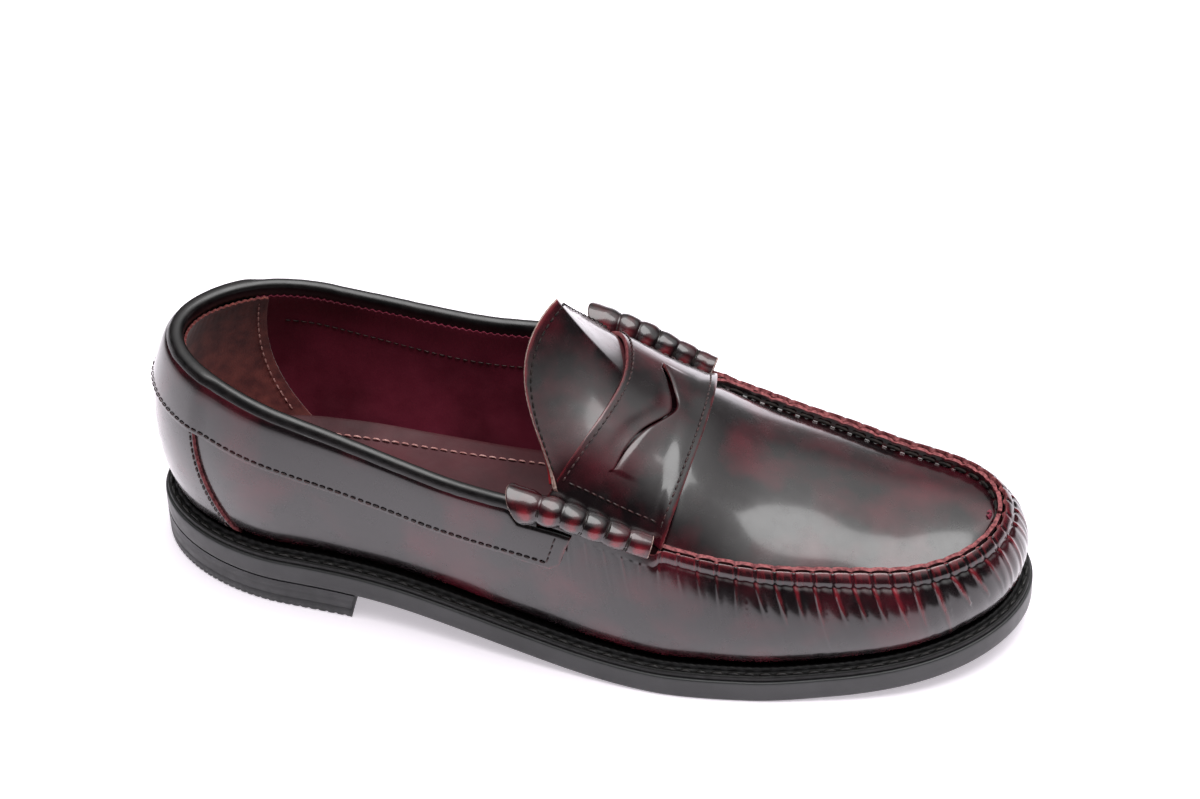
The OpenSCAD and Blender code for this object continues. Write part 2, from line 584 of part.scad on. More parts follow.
module counter_thread() color("#7a3a40") centred() for (seam = [moved(counter_lateral, -1.8),
    moved(counter_medial, 1.8)]) stitches(
    [for (t = steps(0.1, counter_row_top, 16)) skin(seam_angle(seam, t), t, fine_rise)], fine_pitch, thread_d);
module quarter_thread() color("#7a3a40") centred() for (d = [0.9, 2.2]) stitches(
    [for (t = steps(0.12, 0.8, 16)) skin(seam_angle(moved(quarter_seam, -d), t), t, fine_rise)], fine_pitch,
        thread_d);
module strap_thread() color("#7a3a40") centred() {
    edge = 2.5;
    side_q = 0.8;
    face = strap_d + fine_rise;
    stitches([for (q = steps(-0.86, 0.86, 30)) lid_skin(angle_at(strap_rear(q) + edge), q, face)],
        fine_pitch, thread_d);
    stitches([for (q = steps(-0.86, 0.86, 30)) lid_skin(angle_at(strap_front(q) - edge), q, face)],
        fine_pitch, thread_d);
    for (q = [-side_q, side_q]) stitches(
        [for (x = steps(strap_rear(q) + 2 * edge, strap_front(q) - 2 * edge, 12)) lid_skin(angle_at(x), q,
            face)], fine_pitch, thread_d);
}

// ---- Inside the upper ----

module toe_puff() color("#cfc4a8") centred()
    wall_piece(upright(around(puff_end, LATERAL)), upright(around(puff_end, MEDIAL)), 6, -stiff_d,
        -stiff_d - stiff_t, inner_welt_edge, seam_edge);
module heel_stiffener() color("#cfc4a8") centred()
    wall_piece(upright(around(stiffener_end, MEDIAL)), upright(360 + around(stiffener_end, LATERAL)), 7,
        -stiff_d, -stiff_d - stiff_t,
        inner_welt_edge, function(a) under_edge(a, piping_drop + 12));
module interlining(from, to) {
    wall_piece(upright(from), upright(to), 8, -stiff_d, -stiff_d - stiff_t, inner_welt_edge, inner_top_edge);
}
module interlining_lateral() color("#d9d2bf") centred() interlining(around(stiffener_end, LATERAL) + 2
    * seam_turn, around(lining_end, LATERAL));
module interlining_medial() color("#d9d2bf") centred() interlining(around(lining_end, MEDIAL),
    around(stiffener_end, MEDIAL) - 2 * seam_turn);
module vamp_lining() color("#5a2024") centred()
    wall_piece(upright(around(lining_end, LATERAL) + seam_turn),
        upright(around(lining_end, MEDIAL) - seam_turn), 7,
        -lining_d, -lining_d - lining_t, inner_welt_edge, seam_edge);
module quarter_lining_lateral() color("#5a1f26") centred()
    wall_piece(moved(grip_lateral, seam_turn), upright(around(lining_end, LATERAL) - seam_turn), 8,
        -lining_d, -lining_d - lining_t, inner_welt_edge, inner_top_edge);
module quarter_lining_medial() color("#5a1f26") centred()
    wall_piece(upright(around(lining_end, MEDIAL) + seam_turn), moved(grip_medial, -seam_turn), 8,
        -lining_d, -lining_d - lining_t, inner_welt_edge, inner_top_edge);
module heel_grip() color("#7d4a36") centred()
    wall_piece(moved(grip_medial, seam_turn), moved(grip_lateral, 360 - seam_turn), 8,
        -lining_d, -lining_d - lining_t, inner_welt_edge, inner_top_edge);
module heel_grip_thread() color("#d8b0a4") centred() for (seam = [moved(grip_lateral, -2),
    moved(grip_medial, 2)]) stitches(
    [for (t = steps(0.1, 0.92, 20)) skin(seam_angle(seam, t), t, -lining_d - lining_t - fine_rise)],
        fine_pitch, thread_d);
module apron_lining() color("#5a2024") centred()
    lid_piece(1, strap_rows + apron_rows, -upper_t - layer_gap, -upper_t - layer_gap - lining_t);

// ---- The tongue ----

module tongue() color("#3a161c") centred() tongue_piece(1, 1, 0, -upper_t);
module tongue_lining() color("#9a1f26") centred() tongue_piece(0.97, 0.97, -upper_t - layer_gap,
    -upper_t - layer_gap - lining_t);
module tongue_thread() color("#7a3a40") centred() stitches(
    [for (q = steps(-0.9, 0.9, 30)) tongue_skin(0.9, q, fine_rise)], fine_pitch, thread_d);

outsole();
heel_base();
heel_top_piece();
heel_nails();
welt();
welt_thread();
cork_filler();
shank();
insole_board();
heel_cushion();
sock_lining();
sock_thread();
vamp();
medial_quarter();
counter_cover();
collar_band();
topline_piping();
apron();
strap();
beef_roll_lateral();
beef_roll_medial();
roll_thread_lateral();
roll_thread_medial();
moc_seam_thread();
collar_thread();
counter_thread();
quarter_thread();
strap_thread();
toe_puff();
heel_stiffener();
interlining_lateral();
interlining_medial();
vamp_lining();
quarter_lining_lateral();
quarter_lining_medial();
heel_grip();
heel_grip_thread();
apron_lining();
tongue();
tongue_lining();
tongue_thread();
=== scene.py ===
# %% [markdown]
# # A penny loafer
# A loafer is a shoe with no laces. Its upper is a wall of leather that rises from the welt, an apron
# that closes it over the toes with a hand-sewn moccasin seam, a saddle strap with a slot over the
# instep, and a tongue behind the strap. The CAD model gives the size and place of every piece. Here
# each visible piece gets the surface that a shoemaker would recognise, built from the same curves.

# %% The frame
import math

import bpy
import numpy as np
from mathutils import Matrix, Vector


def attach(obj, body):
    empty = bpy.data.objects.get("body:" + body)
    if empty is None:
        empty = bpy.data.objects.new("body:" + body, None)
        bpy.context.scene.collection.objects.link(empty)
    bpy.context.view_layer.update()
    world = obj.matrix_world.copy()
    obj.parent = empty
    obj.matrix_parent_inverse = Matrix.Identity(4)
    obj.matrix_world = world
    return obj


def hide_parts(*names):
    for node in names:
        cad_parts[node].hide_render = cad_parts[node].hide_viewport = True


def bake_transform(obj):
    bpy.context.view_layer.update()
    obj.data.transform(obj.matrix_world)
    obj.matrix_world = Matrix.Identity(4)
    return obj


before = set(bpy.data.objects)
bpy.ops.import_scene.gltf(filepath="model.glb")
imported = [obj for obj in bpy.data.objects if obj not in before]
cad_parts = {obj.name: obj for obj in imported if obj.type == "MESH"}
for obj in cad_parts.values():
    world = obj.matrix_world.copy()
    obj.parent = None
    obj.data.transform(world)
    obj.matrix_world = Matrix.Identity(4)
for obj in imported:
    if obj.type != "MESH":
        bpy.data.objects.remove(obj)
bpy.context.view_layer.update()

# %% [markdown]
# ## Curves
# Shoe shapes are drawn by hand on a last, so they have no formula. A few stations along the shoe
# with a smooth curve through them are the usual answer, and they are easy to correct. All sizes
# below are in millimetres from the back of the heel, and become metres in the frame at the end.

# %% Curves through stations
MM = 0.001
LATERAL, MEDIAL = -1, 1
rng = np.random.default_rng(11)


def lerp(a, b, t):
    """The place that is share t of the way from a to b."""
    return a + (b - a) * t


def ease(t):
    """A smooth step from 0 to 1."""
    t = np.clip(t, 0, 1)
    return t * t * (3 - 2 * t)


def curve(table, x):
    """A smooth curve through a table of [place, value]."""
    px, py = np.array(table, float).T
    i = np.arange(len(px))
    low, high = np.maximum(i - 1, 0), np.minimum(i + 1, len(px) - 1)
    slope = (py[high] - py[low]) / (px[high] - px[low])
    x = np.clip(x, px[0], px[-1])
    k = np.clip(np.searchsorted(px, x, side="right") - 1, 0, len(px) - 2)
    h = px[k + 1] - px[k]
    t = (x - px[k]) / h
    ends = (2 * t**3 - 3 * t**2 + 1) * py[k] + (3 * t**2 - 2 * t**3) * py[k + 1]
    return ends + (t**3 - 2 * t**2 + t) * h * slope[k] + (t**3 - t**2) * h * slope[k + 1]


def unit(v):
    """Vectors of length 1 in the same directions."""
    return v / np.maximum(np.linalg.norm(v, axis=-1, keepdims=True), 1e-9)


def bump(x, width):
    """1 at x = 0, falling to 0 at both sides over about that width."""
    return np.exp(-(x / width)**2)


def distances(path):
    """The distance of each point of a line of points from its start."""
    return np.concatenate([[0], np.cumsum(np.linalg.norm(np.diff(path, axis=0), axis=1))])


# %% [markdown]
# ## The sole's outline and the upper's wall
# One angle walks round the shoe: 0 at the heel, 90 on the outer side, 180 at the toe, 270 on the
# inner side. The wall is ruled from the welt up to the topline, with a bulge halfway, so every
# leather piece of the upper is a patch of one surface and the pieces meet without gaps.

# %% Driving sizes, the same as the design's
SOLE_LEN, SOLE_W, SOLE_T = 300, 105, 8.5
HEEL_H, HEEL_LEN, TOP_PIECE_T, TOE_SPRING = 10.5, 77, 4, 9
WELT_T, SOLE_RIM, INSOLE_T, SOCK_T = 2.2, 6, 2.4, 1.2
BACK_H, SIDE_H, SEAM_H, TOE_H, TOP_W = 91, 69.5, 52.5, 47, 92
UPPER_T, STIFF_T, LINING_T, LAYER_GAP = 1.4, 0.8, 0.9, 0.3
STRAP_T, INSTEP_RISE, ROLL_R, ROLL_FRONT_R, TONGUE_H = 1.4, 25, 5.6, 3.9, 116
UPPER_TOP_T = UPPER_T + STIFF_T + LINING_T + 2 * LAYER_GAP
LINING_D = UPPER_T + STIFF_T + 2 * LAYER_GAP
H_UPPER = SOLE_T + WELT_T + 0.12
H_INSOLE = H_UPPER + UPPER_T + 0.12
H_SOCK = H_INSOLE + INSOLE_T + SOCK_T
STEP_DOWN = BACK_H - SIDE_H

SOLE_FORM = [[0, .66], [.15, .69], [.3, .74], [.45, .87], [.6, .99], [.72, 1], [.85, .885], [1, .83]]
SOLE_LINE = [[0, 1], [.3, -.5], [.6, 0], [.72, 3.3], [.85, 5.9], [1, 7.7]]
TOP_FORM = [[0, .63], [.15, .73], [.3, .85], [.45, .98], [.58, .99], [.75, .88], [.9, .67], [1, .64]]
TOP_LINE = [[0, .5], [.3, 2], [.6, 2], [.75, 3], [.9, 5.4], [1, 7.7]]
TOP_BACK, TOP_FRONT = 10, 10
TOP_HEIGHT = [[0, BACK_H], [.08, BACK_H - .08 * STEP_DOWN], [.2, BACK_H - .42 * STEP_DOWN],
              [.35, SIDE_H + .15 * STEP_DOWN], [.5, SIDE_H], [.6, lerp(SEAM_H, SIDE_H, .42)],
              [.7, SEAM_H], [.8, lerp(SEAM_H, TOE_H, .7)], [.9, TOE_H - 1], [1, TOE_H + 1]]
WALL_BULGE = [[0, 7], [.12, 6], [.3, 3], [.5, 3.5], [.7, 6], [.85, 6.6], [1, 5.6]]
CROWN_FORM = [[.4, 1.4], [.53, 1.05], [.6, .9], [.65, .78], [.72, .52], [.83, .34], [.92, .17], [1, .03]]
CROWN_POWER = 2.4
BOTTOM_FORM = [[0, HEEL_H + 1], [.12, HEEL_H + .4], [.26, HEEL_H], [.4, .6 * HEEL_H], [.52, .16 * HEEL_H],
               [.62, 0], [.72, 0], [.8, .15 * TOE_SPRING], [.9, .5 * TOE_SPRING], [1, TOE_SPRING]]
ROLL_SPAN = {LATERAL: (138, 181), MEDIAL: (143, 183)}


# %% Outlines
def share(a):
    """How far along the shoe an angle is, from 0 at the heel to 1 at the toe."""
    return (1 - np.cos(np.radians(a))) / 2


def which_side(a):
    """-1 on the outer side and 1 on the inner side."""
    return np.where(np.mod(a, 360) < 180, LATERAL, MEDIAL)


def loop(a, x0, x1, line, form, width, back, front):
    """A point of an outline that is rounded over the shares back and front of its length."""
    s = share(a)
    ends = np.sqrt(1 - np.maximum(0, 1 - s / back)**2) * np.sqrt(1 - np.maximum(0, 1 - (1 - s) / front)**2)
    y = curve(line, s) + which_side(a) * curve(form, s) * width / 2 * ends
    return np.stack([lerp(x0, x1, s), y], -1)


def sole_loop(a):
    """The outsole's outline."""
    return loop(a, 0, SOLE_LEN, SOLE_LINE, SOLE_FORM, SOLE_W, .17, .19)


def top_loop(a):
    """The topline and the moccasin seam, seen from above."""
    return loop(a, TOP_BACK, SOLE_LEN - TOP_FRONT, TOP_LINE, TOP_FORM, TOP_W, .16, .12)


def outward(outline, a):
    """The direction straight out of an outline."""
    t = unit(outline(a + 1) - outline(a - 1))
    return np.stack([t[..., 1], -t[..., 0]], -1)


def ground(x):
    """Height of the outsole's underside above the floor."""
    return np.maximum(0, curve(BOTTOM_FORM, np.asarray(x) / SOLE_LEN))


def sole_point(a, inset, height):
    """A point that far inside the sole's outline and that far above the outsole's underside."""
    p = sole_loop(a) - np.asarray(inset)[..., None] * outward(sole_loop, a)
    return np.stack([p[..., 0], p[..., 1], ground(p[..., 0]) + height], -1)


def top_point(a, inset=0.0, drop=0.0):
    """A point that far inside the topline or the seam's crest, and that far below it."""
    p = top_loop(a) - np.asarray(inset)[..., None] * outward(top_loop, a)
    return np.stack([p[..., 0], p[..., 1], curve(TOP_HEIGHT, share(a)) - drop], -1)


outline = sole_loop(np.arange(0, 360, 5.0))
MIDDLE = np.append((outline.min(0) + outline.max(0)) / 2, 0)


def placed(points):
    """Millimetres on the last become metres in the frame."""
    return (np.asarray(points, float) - MIDDLE) * MM


# %% The wall
RIB_ANGLES = np.arange(-90, 810.1, 0.5)
WELT_RIBS = sole_point(RIB_ANGLES, SOLE_RIM, H_UPPER)
TOP_RIBS = top_point(RIB_ANGLES)
BULGE_RIBS = np.zeros_like(TOP_RIBS)
BULGE_RIBS[:, :2] = curve(WALL_BULGE, share(RIB_ANGLES))[:, None] * outward(sole_loop, RIB_ANGLES)
TRAVEL = distances(TOP_RIBS)


def rib(table, a):
    """A row of a table of ribs, at any angle."""
    return np.stack([np.interp(a, RIB_ANGLES, table[:, k]) for k in range(3)], -1)


def x_at(a):
    """How far from the back of the heel the topline is at an angle."""
    return rib(TOP_RIBS, a)[..., 0]


def wall(a, v):
    """The wall's outer face: v is 0 at the welt and 1 at the topline or the seam's crest."""
    a, v = np.broadcast_arrays(np.asarray(a, float), np.asarray(v, float))
    w = v[..., None]
    return lerp(rib(WELT_RIBS, a), rib(TOP_RIBS, a), w) + 4 * w * (1 - w) * rib(BULGE_RIBS, a)


def wall_out(a, v):
    """The direction straight out of the wall."""
    return unit(np.cross(wall(a + 1, v) - wall(a - 1, v), wall(a, v + .02) - wall(a, v - .02)))


def skin(a, v, d):
    """A layer of the wall that lies d outside its outer face."""
    return wall(a, v) + np.asarray(d)[..., None] * wall_out(a, v)


def wall_height(a):
    """Height of the wall from the welt to its top."""
    return rib(TOP_RIBS, a)[..., 2] - rib(WELT_RIBS, a)[..., 2]


def angle_at(x, side=LATERAL):
    """The angle at which the topline reaches x on one side."""
    a = np.degrees(np.arccos(1 - 2 * (np.asarray(x, float) - TOP_BACK) / (SOLE_LEN - TOP_FRONT - TOP_BACK)))
    return a if side == LATERAL else 360 - a


def travel_at(a):
    """Distance along the topline, in millimetres."""
    return np.interp(a, RIB_ANGLES, TRAVEL)


def angle_of(travel):
    """The angle at a distance along the topline."""
    return np.interp(travel, TRAVEL, RIB_ANGLES)


def even_angles(a0, a1, step):
    """Angles a step of so many millimetres apart along the topline."""
    t0, t1 = travel_at(a0), travel_at(a1)
    return angle_of(np.linspace(t0, t1, max(2, int(round(abs(t1 - t0) / step)) + 1)))


def roll_span(a, k):
    """Where the rolled strap end begins or ends, on the side of an angle."""
    return np.where(which_side(a) == LATERAL, ROLL_SPAN[LATERAL][k], ROLL_SPAN[MEDIAL][k])


def roll_share(a):
    """1 under the rolled strap end and 0 away from it."""
    return ease((x_at(a) - roll_span(a, 0) + 4) / 4) * ease((roll_span(a, 1) + 5 - x_at(a)) / 5)


def roll_radius(a):
    """Radius of the rolled strap end."""
    return lerp(ROLL_R, ROLL_FRONT_R, (x_at(a) - roll_span(a, 0)) / (roll_span(a, 1) - roll_span(a, 0)))


def edge_drop(a):
    """How far the wall's own edge lies below the topline, beside the roll."""
    return roll_share(a) * (roll_radius(a) - 1.2)


print("length of the topline and seam:", round(float(travel_at(360) - travel_at(0))), "mm")

# %% [markdown]
# ## Meshes from grids
# Leather is a sheet, so most pieces start as one grid of points for the grain side. A Solidify
# modifier gives the sheet its thickness with a separate material on the cut edge, and a Bevel rounds
# that edge, because a knife-sharp edge catches no light. Both are applied at once.


# %% Mesh helpers
SLANT = .05


def grid_faces(n, m, wrap_n=False, wrap_m=False, flip=False):
    """Faces between neighbours in a grid of n by m points."""
    i, j = np.meshgrid(np.arange(n if wrap_n else n - 1), np.arange(m if wrap_m else m - 1), indexing="ij")
    i, j = i.ravel(), j.ravel()
    i2, j2 = (i + 1) % n, (j + 1) % m
    faces = np.stack([i * m + j, i2 * m + j, i2 * m + j2, i * m + j2], -1)
    return faces[:, ::-1] if flip else faces


def mesh_object(name, points, faces, materials, slots=None, marks=None):
    """An object from points in millimetres. slots gives each face's material, and marks named values a
    point."""
    mesh = bpy.data.meshes.new(name)
    points = placed(points)
    mesh.vertices.add(len(points))
    mesh.vertices.foreach_set("co", points.astype(np.float32).ravel())
    sizes = np.array([len(f) for f in faces])
    mesh.loops.add(int(sizes.sum()))
    mesh.loops.foreach_set("vertex_index", np.concatenate([np.asarray(f) for f in faces]).astype(np.int32))
    mesh.polygons.add(len(faces))
    mesh.polygons.foreach_set("loop_start", np.concatenate([[0], np.cumsum(sizes)[:-1]]).astype(np.int32))
    if slots is not None:
        mesh.polygons.foreach_set("material_index", np.asarray(slots, np.int32))
    mesh.update(calc_edges=True)
    mesh.validate()
    for mark, values in (marks or {}).items():
        layer = mesh.attributes.new(mark, "FLOAT", "POINT")
        layer.data.foreach_set("value", np.asarray(values, np.float32).ravel())
    mesh.shade_smooth()
    obj = bpy.data.objects.new(name, mesh)
    bpy.context.scene.collection.objects.link(obj)
    for m in materials:
        mesh.materials.append(m)
    return obj


def settle(obj):
    """Applies the modifiers."""
    result = bpy.data.meshes.new_from_object(obj.evaluated_get(bpy.context.evaluated_depsgraph_get()))
    obj.modifiers.clear()
    obj.data = result
    return obj


def sheet(name, grid, thickness, materials, marks=None, edge=0.35, flip=False, faces=None):
    """A leather piece from a grid of points on its grain side. materials are grain, flesh side and cut
    edge."""
    if faces is None:
        faces = grid_faces(*grid.shape[:2], flip=flip)
    obj = mesh_object(name, grid.reshape(-1, 3), faces, materials, marks=marks)
    solid = obj.modifiers.new("thickness", "SOLIDIFY")
    solid.thickness, solid.offset = thickness * MM, -1
    solid.material_offset, solid.material_offset_rim = 1, 2
    bevel = obj.modifiers.new("edge", "BEVEL")
    bevel.width, bevel.segments, bevel.limit_method = edge * MM, 2, "ANGLE"
    bevel.angle_limit = math.radians(50)
    return settle(obj)


def tube(name, paths, radius, material, sides=8):
    """Round cords along several lines of points."""
    points, faces, base = [], [], 0
    for path, thickness in zip(paths, np.broadcast_to(radius, len(paths))):
        path = np.asarray(path, float)
        along = unit(np.gradient(path, axis=0))
        side = unit(np.cross(along, [0, 0, 1.0] + 0.3 * np.roll(along, 1, -1)))
        up = np.cross(side, along)
        t = np.linspace(0, 2 * math.pi, sides, endpoint=False)
        r = np.full(len(path), float(thickness))
        r[[0, -1]] *= .55
        ring = side[:, None] * np.cos(t)[None, :, None] + up[:, None] * np.sin(t)[None, :, None]
        points.append((path[:, None] + r[:, None, None] * ring).reshape(-1, 3))
        faces += list(base + grid_faces(len(path), sides, wrap_m=True, flip=True))
        faces.append(base + np.arange(sides))
        faces.append(base + (len(path) - 1) * sides + np.arange(sides)[::-1])
        base += len(path) * sides
    return mesh_object(name, np.concatenate(points), faces, [material])


def sampled(values, d, at):
    """Rows of three values, known at distances d along a line, at other distances."""
    return np.stack([np.interp(at, d, values[:, k]) for k in range(3)], -1)


def stitch_row(name, rows, pitch, width, material, fill=.74):
    """Rows of stitches, the pitch apart. Each row is (points on the leather, directions out of it). A
    stitch fills that share of its pitch, and dives into the leather at both ends."""
    t = np.array([-1, -.9, -.6, 0, .6, .9, 1])
    girth = np.array([.35, .7, .95, 1, .95, .7, .35])
    phi = np.linspace(0, 2 * math.pi, 8, endpoint=False)
    points, faces, base = [], [], 0
    for path, out in rows:
        d = distances(path)
        at = np.linspace(0, d[-1], max(2, int(round(d[-1] / pitch)) + 1))
        ends, ups = sampled(path, d, at), unit(sampled(out, d, at))
        for p, q, n in zip(ends[:-1], ends[1:], unit(ups[:-1] + ups[1:])):
            along = unit(q - p)
            side = np.cross(along, n)
            along = unit(along + SLANT * side)
            half = np.linalg.norm(q - p) / 2 * fill * (1 + .06 * rng.standard_normal())
            lift = width / 2 * (1 - 1.1 * t**4)
            spine = (p + q) / 2 + along * (t * half)[:, None] + n * lift[:, None]
            ring = side * np.cos(phi)[None, :, None] + n * np.sin(phi)[None, :, None] * .8
            points.append((spine[:, None] + girth[:, None, None] * width / 2 * ring).reshape(-1, 3))
            faces += list(base + grid_faces(len(t), 8, wrap_m=True))
            faces.append(base + np.arange(8)[::-1])
            faces.append(base + (len(t) - 1) * 8 + np.arange(8))
            base += len(t) * 8
    return mesh_object(name, np.concatenate(points), faces, [material])


def ripple(points, size, seed):
    """Soft random waves of about the size given, between -1 and 1."""
    r = np.random.default_rng(seed)
    total = 0
    for _ in range(7):
        k = unit(r.standard_normal(3)) * 2 * math.pi / (size * r.uniform(.7, 1.5))
        total = total + np.sin(np.asarray(points) @ k + r.uniform(0, 6.28))
    return total / 3.5

# %% [markdown]
# ## Finishes
# The upper is calf leather with a brush-off finish: a dark wine coat that is rubbed away where the
# leather stands proud, so ridges and edges turn red. Each material below is a small node tree. A
# value called burnish_and_highlight is stored on the points of a piece and says how much coat was rubbed off;
# on the rolled strap ends it also holds a painted highlight, a red spot on each lobe.


# %% Node and colour helpers
def tone(code):
    """An sRGB hex colour turned to linear, opaque."""
    srgb = [int(code[i:i + 2], 16) / 255 for i in (1, 3, 5)]
    return tuple(c / 12.92 if c <= .04045 else ((c + .055) / 1.055)**2.4 for c in srgb) + (1,)


def add(tree, kind, inputs=None, **settings):
    """Adds a node. settings are its own values, and inputs are numbers, colours or other nodes'
    outputs."""
    node = tree.nodes.new(kind)
    for key, value in settings.items():
        setattr(node, key, value)
    for key, value in (inputs or {}).items():
        if isinstance(value, bpy.types.NodeSocket):
            tree.links.new(value, node.inputs[key])
        else:
            node.inputs[key].default_value = value
    return node


def per_metre(size_mm):
    """A texture's scale from the size of its features in millimetres."""
    return 1000 / size_mm


def surface(name, colour, shader, waves=(), roughness=None):
    """A material. colour makes the colour's socket from the tree and the place of each point. waves are
    (feature size in mm, height in mm, detail) of the surface's relief. roughness is (low, high, size in
    mm)."""
    result = bpy.data.materials.new(name)
    result.use_nodes = True
    tree = result.node_tree
    tree.nodes.clear()
    place = add(tree, "ShaderNodeTexCoord").outputs["Object"]
    sockets = dict(shader)
    sockets["Base Color"] = colour(tree, place)
    if roughness:
        spots = add(tree, "ShaderNodeTexNoise",
                    {"Vector": place, "Scale": per_metre(roughness[2]), "Detail": 3.0})
        sockets["Roughness"] = add(tree, "ShaderNodeMapRange", {
            "Value": spots.outputs["Fac"], "From Min": .3, "From Max": .7, "To Min": roughness[0],
            "To Max": roughness[1]}).outputs["Result"]
    relief = None
    for size, height, detail in waves:
        noise = add(tree, "ShaderNodeTexNoise", {"Vector": place, "Scale": per_metre(size), "Detail": detail})
        inputs = {"Height": noise.outputs["Fac"], "Distance": height * MM, "Strength": 1.0}
        if relief:
            inputs["Normal"] = relief
        relief = add(tree, "ShaderNodeBump", inputs).outputs["Normal"]
    if relief:
        sockets["Normal"] = relief
    shaded = add(tree, "ShaderNodeBsdfPrincipled", sockets)
    add(tree, "ShaderNodeOutputMaterial", {"Surface": shaded.outputs["BSDF"]})
    return result


def clouds(size_mm, dark, light, low=.35, high=.65, detail=4.0):
    """Two colours that mix in soft clouds of that size."""
    def colour(tree, place):
        noise = add(tree, "ShaderNodeTexNoise",
                    {"Vector": place, "Scale": per_metre(size_mm), "Detail": detail})
        share_of_light = add(tree, "ShaderNodeMapRange", {
            "Value": noise.outputs["Fac"], "From Min": low, "From Max": high}).outputs["Result"]
        return add(tree, "ShaderNodeMix", {0: share_of_light, 6: tone(dark), 7: tone(light)},
                   data_type="RGBA").outputs[2]
    return colour


# %% [markdown]
# ## Leathers
# Polished calf is smooth, so it is mostly a mirror with a soft edge: low roughness, a thin clear
# coat of wax, and relief too shallow to see except in the way it bends reflections. Lining leather
# is matt, suede scatters light in its nap, and a cut edge shows the pale fibres inside.


# %% Upper leather
def brush_off(tree, place):
    """Dark wine leather, with red where the coat is rubbed off the proud places and red highlights painted on
    the rolls' lobes.
    """
    base = clouds(24, "#10070a", "#470f1a", .46, .72)(tree, place)
    # The stored value is coat rubbed off the proud places, plus a painted red highlight on the rolls' lobes.
    rubbed = add(tree, "ShaderNodeAttribute", attribute_name="burnish_and_highlight").outputs["Fac"]
    patchy = add(tree, "ShaderNodeTexNoise",
                 {"Vector": place, "Scale": per_metre(4), "Detail": 5.0}).outputs["Fac"]
    spread = add(tree, "ShaderNodeMath", {0: rubbed, 1: patchy}, operation="MULTIPLY").outputs[0]
    amount = add(tree, "ShaderNodeMapRange",
                 {"Value": spread, "From Min": .12, "From Max": .6}).outputs["Result"]
    return add(tree, "ShaderNodeMix", {0: amount, 6: base, 7: tone("#82202a")}, data_type="RGBA").outputs[2]


POLISH = {"IOR": 1.5, "Coat Weight": .6, "Coat Roughness": .1, "Coat IOR": 1.5}
# Brush-off calf, glazed: a deep gloss that breaks up a little over the pores
calf = surface("calf_brush_off", brush_off, POLISH, waves=[(9, .05, 2), (.7, .012, 2)],
               roughness=(.18, .3, 5))
# The piping is the same calf, dyed black and stretched smooth
piping_calf = surface("calf_black_glazed", clouds(6, "#050405", "#0e0809"),
                      {"IOR": 1.5, "Coat Weight": .2, "Coat Roughness": .2},
                      waves=[(5, .06, 2), (.5, .02, 2)], roughness=(.3, .42, 3))
# Cut calf edges, stained pink-red and rubbed: no coat, fibres show
cut_edge = surface("calf_cut_edge", clouds(1.2, "#54181f", "#9a5456"), {"IOR": 1.45},
                   waves=[(.4, .06, 3)], roughness=(.55, .8, 1))
# Edges left raw: the pale inside of the hide
raw_edge = surface("calf_raw_edge", clouds(1.0, "#8d6f66", "#cdb5ac"), {"IOR": 1.45, "Roughness": .85},
                   waves=[(.35, .08, 3)])
# Flesh side, unseen except past an edge
flesh = surface("calf_flesh_side", clouds(3, "#2a1216", "#4a2226"), {"IOR": 1.45, "Roughness": .9},
                waves=[(.5, .1, 3)])
print("leather materials:", [m.name for m in bpy.data.materials])

# %% Inside leathers
# Goat lining, drum dyed: matt wine red with a fine grain
lining = surface("goat_lining", clouds(24, "#561626", "#742438"), {"IOR": 1.45},
                 waves=[(1.6, .06, 4)], roughness=(.42, .56, 6))
# Suede: the nap scatters light, so it looks soft and lighter at its edges
suede = surface("suede_nap", clouds(5, "#5c2224", "#84403a", detail=6.0),
                {"IOR": 1.45, "Roughness": .95, "Sheen Weight": .35, "Sheen Roughness": .5},
                waves=[(.6, .12, 4)])
sock_leather = surface("sock_calf", clouds(30, "#3a141a", "#551e26"), {"IOR": 1.38},
                       waves=[(2.2, .05, 3)], roughness=(.45, .58, 9))
red_lining = surface("tongue_lining_calf", clouds(8, "#7a1119", "#a81c24"), {"IOR": 1.45, "Roughness": .5},
                     waves=[(1.2, .05, 3)])

# %% [markdown]
# ## Rubber, welt and threads
# The sole is moulded rubber with a satin skin. Thread is waxed and twisted, so each stitch is a
# small hard bead of thread with a soft shine.

# %% Sole and thread materials
rubber = surface("moulded_rubber", clouds(25, "#28292a", "#363738"), {"IOR": 1.52},
                 waves=[(.8, .02, 3)], roughness=(.34, .46, 4))
heel_rubber = surface("moulded_heel_rubber", clouds(18, "#262728", "#343536"), {"IOR": 1.52},
                      waves=[(.8, .03, 3)], roughness=(.42, .56, 4))
welt_finish = surface("welt_leather_black", clouds(9, "#040404", "#0c0b0b"), {"IOR": 1.45},
                      waves=[(1.1, .08, 3)], roughness=(.45, .65, 3))
dark_thread = surface("waxed_thread_dark", clouds(1.5, "#0b0908", "#281f1c"), {"IOR": 1.38, "Roughness": .75},
                      waves=[(.35, .05, 1)])
wine_thread = surface("polyester_thread_wine", clouds(2, "#1c0c0d", "#3c1a1a"),
                      {"IOR": 1.5, "Roughness": .45},
                      waves=[(.3, .04, 1)])
pale_thread = surface("polyester_thread_pale", clouds(2, "#a8706c", "#cfa09a"),
                      {"IOR": 1.5, "Roughness": .55},
                      waves=[(.3, .04, 1)])
welt_thread_finish = surface("waxed_thread_grey", clouds(2, "#0c0b0b", "#24221f"),
                             {"IOR": 1.5, "Roughness": .4},
                             waves=[(.35, .05, 1)])

# Fine machine stitches
FINE = {"pitch": 2.6, "width": .6, "material": wine_thread, "fill": .8}

